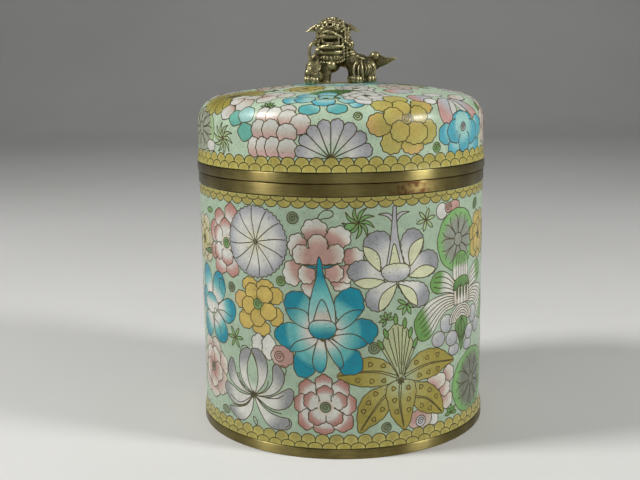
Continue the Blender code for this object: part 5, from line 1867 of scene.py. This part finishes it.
def worn_places(mesh):
    """How far each point stands out of its surroundings, from 0 in a hollow to 1 on a ridge."""
    count = len(mesh.vertices)
    places = np.empty(count * 3, np.float32)
    mesh.vertices.foreach_get("co", places)
    places = places.reshape(-1, 3).astype(float)
    normals = np.empty(count * 3, np.float32)
    mesh.vertices.foreach_get("normal", normals)
    ends = np.empty(len(mesh.edges) * 2, np.int32)
    mesh.edges.foreach_get("vertices", ends)
    first, second = ends.reshape(-1, 2).T
    degree = np.bincount(ends, minlength=count)[:, None]
    smoothed = places
    for _ in range(LION_CAVITY_STEPS):
        ways = ((first, second), (second, first))
        sums = [[np.bincount(to, smoothed[start, k], count) for k in range(3)] for to, start in ways]
        smoothed = np.transpose(np.add(*sums)) / degree
    proud = ((places - smoothed) * normals.reshape(-1, 3)).sum(1) / MM
    return np.clip(LION_LEVEL_WEAR + proud / LION_CAVITY_REACH, 0, 1)


def make_lion(material):
    """The lion in one mesh: lumps fused and cut to the curve of the lid, with its worn places marked."""
    clay = Clay()
    for add in (add_torso, add_face, add_ears, add_mane, add_harness, add_legs, add_ribbon, add_tail):
        add(clay)
    lump = bpy.data.objects.new("lion_lumps", clay.mesh("lion_lumps"))
    bpy.context.scene.collection.objects.link(lump)
    remesh = lump.modifiers.new("fuse", "REMESH")
    remesh.mode = "VOXEL"
    remesh.voxel_size = LION_VOXEL
    soften = lump.modifiers.new("soften", "SMOOTH")
    soften.factor = LION_SOFTENING
    soften.iterations = 1
    fused = bpy.data.meshes.new_from_object(lump.evaluated_get(bpy.context.evaluated_depsgraph_get()))
    bpy.data.objects.remove(lump)
    shape = bmesh.new()
    shape.from_mesh(fused)
    for vertex in shape.verts:
        vertex.co.z += vertex.co.xy.length_squared / (2 * DOME_RADIUS)
    everything = shape.verts[:] + shape.edges[:] + shape.faces[:]
    level = {"plane_co": (0, 0, 0), "plane_no": (0, 0, 1), "dist": CUT_TOLERANCE}
    cut = bmesh.ops.bisect_plane(shape, geom=everything, clear_inner=True, **level)
    rim = [e for e in cut["geom_cut"] if isinstance(e, bmesh.types.BMEdge)]
    bmesh.ops.triangle_fill(shape, edges=rim, use_beauty=True, normal=(0, 0, -1))
    for vertex in shape.verts:
        vertex.co.z -= vertex.co.xy.length_squared / (2 * DOME_RADIUS)
        vertex.co = (vertex.co + Vector((0, 0, LION_BASE))) * MM
    bmesh.ops.recalc_face_normals(shape, faces=shape.faces[:])
    shape.to_mesh(fused)
    shape.free()
    fused.name = "lion_cast"
    fused.shade_smooth()
    worn = fused.attributes.new("worn", "FLOAT", "POINT")
    worn.data.foreach_set("value", worn_places(fused).astype(np.float32))
    fused.materials.clear()
    fused.materials.append(material)
    obj = bpy.data.objects.new("lion_cast", fused)
    bpy.context.scene.collection.objects.link(obj)
    return obj


# Materials


class Nodes:
    """Builds a material from nodes."""

    def __init__(self, name):
        self.material = bpy.data.materials.new(name)
        self.material.use_nodes = True
        self.tree = self.material.node_tree
        self.shader = self.tree.nodes["Principled BSDF"]
        self.place = self.add("ShaderNodeTexCoord").outputs["Object"]

    def add(self, kind, settings=(), **inputs):
        """A node with its settings, and its inputs fed with values or sockets."""
        node = self.tree.nodes.new(kind)
        for key, value in dict(settings).items():
            setattr(node, key, value)
        for key, value in inputs.items():
            self.feed(node.inputs[key.replace("_", " ")], value)
        return node

    def feed(self, socket, value):
        """Links a socket to an input, or sets the input's value."""
        if isinstance(value, bpy.types.NodeSocket):
            self.tree.links.new(value, socket)
        else:
            socket.default_value = value

    def noise(self, scale, detail=3.0, vector=None):
        """A noise of that many features a metre, from 0 to 1."""
        return self.add("ShaderNodeTexNoise", Vector=vector or self.place, Scale=scale,
                        Detail=detail).outputs["Fac"]

    def span(self, value, low, high, to_low, to_high):
        """The value taken from one range to another, and held at its ends."""
        node = self.add("ShaderNodeMapRange", Value=value)
        for key, number in zip(("From Min", "From Max", "To Min", "To Max"), (low, high, to_low, to_high)):
            node.inputs[key].default_value = number
        return node.outputs["Result"]

    def maths(self, operation, first, second):
        """One sum, product or the like."""
        node = self.tree.nodes.new("ShaderNodeMath")
        node.operation = operation
        self.feed(node.inputs[0], first)
        self.feed(node.inputs[1], second)
        return node.outputs[0]

    def mix(self, share, first, second, blend="MIX"):
        """A colour between two, or two blended."""
        node = self.tree.nodes.new("ShaderNodeMix")
        node.data_type = "RGBA"
        node.blend_type = blend
        self.feed(node.inputs[0], share)
        for socket, value in ((node.inputs[6], first), (node.inputs[7], second)):
            self.feed(socket, value if isinstance(value, bpy.types.NodeSocket) else (*value, 1.0))
        return node.outputs[2]

    def grey(self, value):
        """A colour of equal parts of that value."""
        return self.add("ShaderNodeCombineColor", Red=value, Green=value, Blue=value).outputs[0]

    def bump(self, height, distance, strength):
        """Fine relief from a height."""
        node = self.add("ShaderNodeBump", Height=height, Distance=distance, Strength=strength)
        self.feed(self.shader.inputs["Normal"], node.outputs["Normal"])

    def set(self, **inputs):
        """Feeds the shader and gives back the material."""
        for key, value in inputs.items():
            if not isinstance(value, bpy.types.NodeSocket) and hasattr(value, "__len__"):
                value = (*value, 1.0)
            self.feed(self.shader.inputs[key.replace("_", " ")], value)
        return self.material


def enamel_material():
    """Glossy enamel in the drawing's colours, mottled, with fine grains and a few dark pits."""
    n = Nodes("enamel_colours")
    paint = n.add("ShaderNodeAttribute", {"attribute_name": "paint"}).outputs["Color"]
    cloud = n.span(n.noise(220, 4), 0.25, 0.75, 0.86, 1.12)
    grain = n.span(n.noise(2600, 2), 0.2, 0.8, 0.88, 1.12)
    base = n.mix(1.0, paint, n.grey(n.maths("MULTIPLY", cloud, grain)), "MULTIPLY")
    pits = n.span(n.noise(1500, 0), 0.76, 0.80, 0.0, 0.6)
    base = n.mix(pits, base, (0.07, 0.08, 0.06))
    glaze = n.noise(480, 2)
    n.bump(n.maths("ADD", n.maths("MULTIPLY", glaze, 0.6), n.maths("MULTIPLY", pits, -0.8)), 0.00006, 0.6)
    return n.set(Base_Color=base, Roughness=n.span(glaze, 0.3, 0.7, 0.24, 0.36), Specular_IOR_Level=0.4)


def wire_material():
    """Thin brass wire between the enamels, dark partly with age and partly as painted shade for the dark
    surroundings it reflects.
    """
    n = Nodes("wire_brass")
    shade = n.span(n.noise(300, 3), 0.3, 0.7, 0.0, 1.0)
    # Both brass colours are dark partly with age and partly as painted shade, for the dark surroundings that
    # the wire reflects.
    base = n.mix(shade, colour(58, 54, 36), colour(104, 92, 52))
    return n.set(Base_Color=base, Metallic=0.35, Roughness=n.span(n.noise(900), 0.3, 0.7, 0.3, 0.5))


def band_material():
    """Turned brass with fine lines round the jar, browner in places, and a brown tarnish on the rim band. Its
    brass is darker than clean brass: painted shade, for the dark surroundings that it reflects.
    """
    n = Nodes("turned_brass")
    axes = n.add("ShaderNodeSeparateXYZ", Vector=n.place)
    turn = n.maths("ARCTAN2", axes.outputs["X"], axes.outputs["Y"])
    reach = n.add("ShaderNodeVectorMath", {"operation": "LENGTH"}, Vector=n.place).outputs["Value"]
    across = n.maths("MULTIPLY", turn, 0.004)
    lines = n.add("ShaderNodeCombineXYZ", X=across, Y=reach, Z=axes.outputs["Z"])
    brushed = n.noise(2600, 3, lines.outputs[0])
    stains = n.noise(90, 5)
    # These brass colours are darker than clean brass: painted shade, for the dark surroundings that the bands
    # reflect.
    base = n.mix(n.span(stains, 0.35, 0.68, 0.0, 1.0), colour(156, 144, 90), colour(130, 115, 70))
    base = n.mix(n.span(n.noise(34, 4), 0.55, 0.75, 0.0, 0.5), base, colour(106, 80, 54))
    base = n.mix(n.span(brushed, 0.3, 0.7, 0.0, 0.35), base, colour(72, 66, 40))
    away = n.add("ShaderNodeVectorMath", {"operation": "DISTANCE"}, Vector=n.place)
    n.feed(away.inputs[1], TARNISH_PLACE)
    uneven = n.maths("ADD", away.outputs["Value"], n.maths("MULTIPLY", stains, 0.008))
    near = n.span(uneven, 0.009, 0.017, 1.0, 0.0)
    below_seam = n.maths("MULTIPLY", near, n.span(axes.outputs["Z"], 0.1119, 0.1123, 0.95, 0.0))
    tarnish = n.maths("MULTIPLY", below_seam, n.span(n.noise(380, 4), 0.4, 0.58, 0.3, 1.0))
    base = n.mix(tarnish, base, colour(94, 62, 40))
    n.bump(brushed, 0.00006, 0.5)
    roughness = n.maths("ADD", n.span(stains, 0.3, 0.7, 0.36, 0.44), n.maths("MULTIPLY", tarnish, 0.2))
    return n.set(Base_Color=base, Metallic=1.0, Roughness=roughness, Anisotropic=0.97,
                 Anisotropic_Rotation=0.25)


def cast_material():
    """Cast brass: olive-brown with age in the hollows, and worn brighter on the high places."""
    n = Nodes("cast_brass")
    worn = n.add("ShaderNodeAttribute", {"attribute_name": "worn"}).outputs["Fac"]
    rough = n.noise(1600, 4)
    level = n.maths("ADD", worn, n.maths("MULTIPLY", n.maths("SUBTRACT", rough, 0.5), 1.1))
    base = n.mix(n.span(level, 0.05, 0.45, 0.0, 1.0), colour(66, 62, 42), colour(116, 108, 76))
    base = n.mix(n.span(level, 0.45, 0.9, 0.0, 1.0), base, colour(192, 182, 138))
    n.bump(rough, 0.00015, 0.6)
    return n.set(Base_Color=base, Metallic=0.85, Roughness=n.span(level, 0.2, 0.9, 0.52, 0.34))


def floor_material():
    """A pale matt floor."""
    n = Nodes("pale_floor")
    base = n.mix(n.span(n.noise(3, 3), 0.3, 0.7, 0.0, 1.0), colour(226, 225, 222), colour(218, 217, 213))
    return n.set(Base_Color=base, Roughness=n.span(n.noise(60), 0.3, 0.7, 0.7, 0.85))


# Stage


def make_floor(material):
    """A pale floor that curves up far behind the jar."""
    mesh = bpy.data.meshes.new("stage_floor")
    profile = [(-4.0, 0.0), (1.4, 0.0)]
    profile += [(1.4 + 0.8 * math.sin(t), 0.8 - 0.8 * math.cos(t)) for t in np.linspace(0.1, math.pi / 2, 14)]
    profile.append((2.2, 4.0))
    points = [(x, y, z) for x in (-5.0, 5.0) for y, z in profile]
    n = len(profile)
    mesh.from_pydata(points, [], [(i, i + n, i + n + 1, i + 1) for i in range(n - 1)])
    mesh.shade_smooth()
    mesh.materials.append(material)
    obj = bpy.data.objects.new("stage_floor", mesh)
    bpy.context.scene.collection.objects.link(obj)


def area_light(name, place, target, size, power):
    """A round lamp turned towards a place, all in metres."""
    light = bpy.data.lights.new(name, "AREA")
    light.shape = "DISK"
    light.size = size
    light.energy = power
    obj = bpy.data.objects.new(name, light)
    obj.location = place
    obj.rotation_euler = (Vector(target) - Vector(place)).to_track_quat("-Z", "Y").to_euler()
    bpy.context.scene.collection.objects.link(obj)


def make_lights():
    """Two soft lamps at the sides, where the photograph's reflections show them, and a weak one in front.

    Each lamp at the side is a metre from the spot on the lid's shoulder that mirrors it.
    """
    left = Vector((-0.030, -0.053, 0.138)) + Vector((-0.708, -0.131, 0.694))
    right = Vector((0.031, -0.053, 0.137)) + Vector((0.825, -0.286, 0.488))
    area_light("lamp_left", left, (0, 0, 0.09), 0.24, 8.4)
    area_light("lamp_right", right, (0, 0, 0.09), 0.24, 6.6)
    area_light("lamp_front", (0.1, -1.5, 1.2), (0, 0, 0.08), 0.9, 2.0)
    world = bpy.data.worlds.new("studio")
    world.use_nodes = True
    background = world.node_tree.nodes["Background"]
    background.inputs["Color"].default_value = (0.95, 0.97, 1.0, 1.0)
    background.inputs["Strength"].default_value = 0.12
    bpy.context.scene.world = world
    bpy.context.scene.view_settings.view_transform = "Standard"


def make_camera():
    """The photograph's camera, worked out from the outline of the jar and the curves of its bands."""
    focal_pixels, image_width, place = 1015.44, 640, (0, -0.4504, 0.16435)
    pitch, roll, yaw = math.radians(10.797), math.radians(-0.7475), math.radians(-1.2207)
    forward = Vector((math.sin(yaw) * math.cos(pitch), math.cos(yaw) * math.cos(pitch), -math.sin(pitch)))
    level = Vector((math.cos(yaw), -math.sin(yaw), 0))
    up = level.cross(forward)
    right = math.cos(roll) * level + math.sin(roll) * up
    above = -math.sin(roll) * level + math.cos(roll) * up
    data = bpy.data.cameras.new("camera")
    data.sensor_width = 36.0
    data.lens = focal_pixels * data.sensor_width / image_width
    data.clip_start = 0.01
    camera = bpy.data.objects.new("camera", data)
    camera.matrix_world = Matrix((right, above, -forward)).transposed().to_4x4()
    camera.location = place
    bpy.context.scene.collection.objects.link(camera)
    bpy.context.scene.camera = camera


def dress(obj, node):
    """Hangs a piece on the root, and hides the solid that it stands for."""
    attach(obj, "root")
    if node:
        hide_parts(node)


def main():
    """Draws and builds every piece, then the floor, lamps and camera."""
    enamel, wire, brass = enamel_material(), wire_material(), band_material()
    # The lid's ground is the lighter mint, which is painted sheen.
    body, lid = Drawing(body_shell(), MINT), Drawing(lid_shell(), MINT_WITH_PAINTED_SHEEN)
    draw_body(body)
    draw_lid(lid)
    body_mesh, body_runs = make_body(body, enamel)
    lid_mesh, lid_runs = make_lid(lid, enamel)
    dress(body_mesh, "body_shell")
    dress(lid_mesh, "lid_shell")
    dress(make_wires("body_wires", body.shell, body_runs, wire), None)
    dress(make_wires("lid_wires", lid.shell, lid_runs, wire), None)
    for band, node in make_bands(brass):
        dress(band, node)
    dress(make_lion(cast_material()), "lion_finial")
    make_floor(floor_material())
    make_lights()
    make_camera()


main()
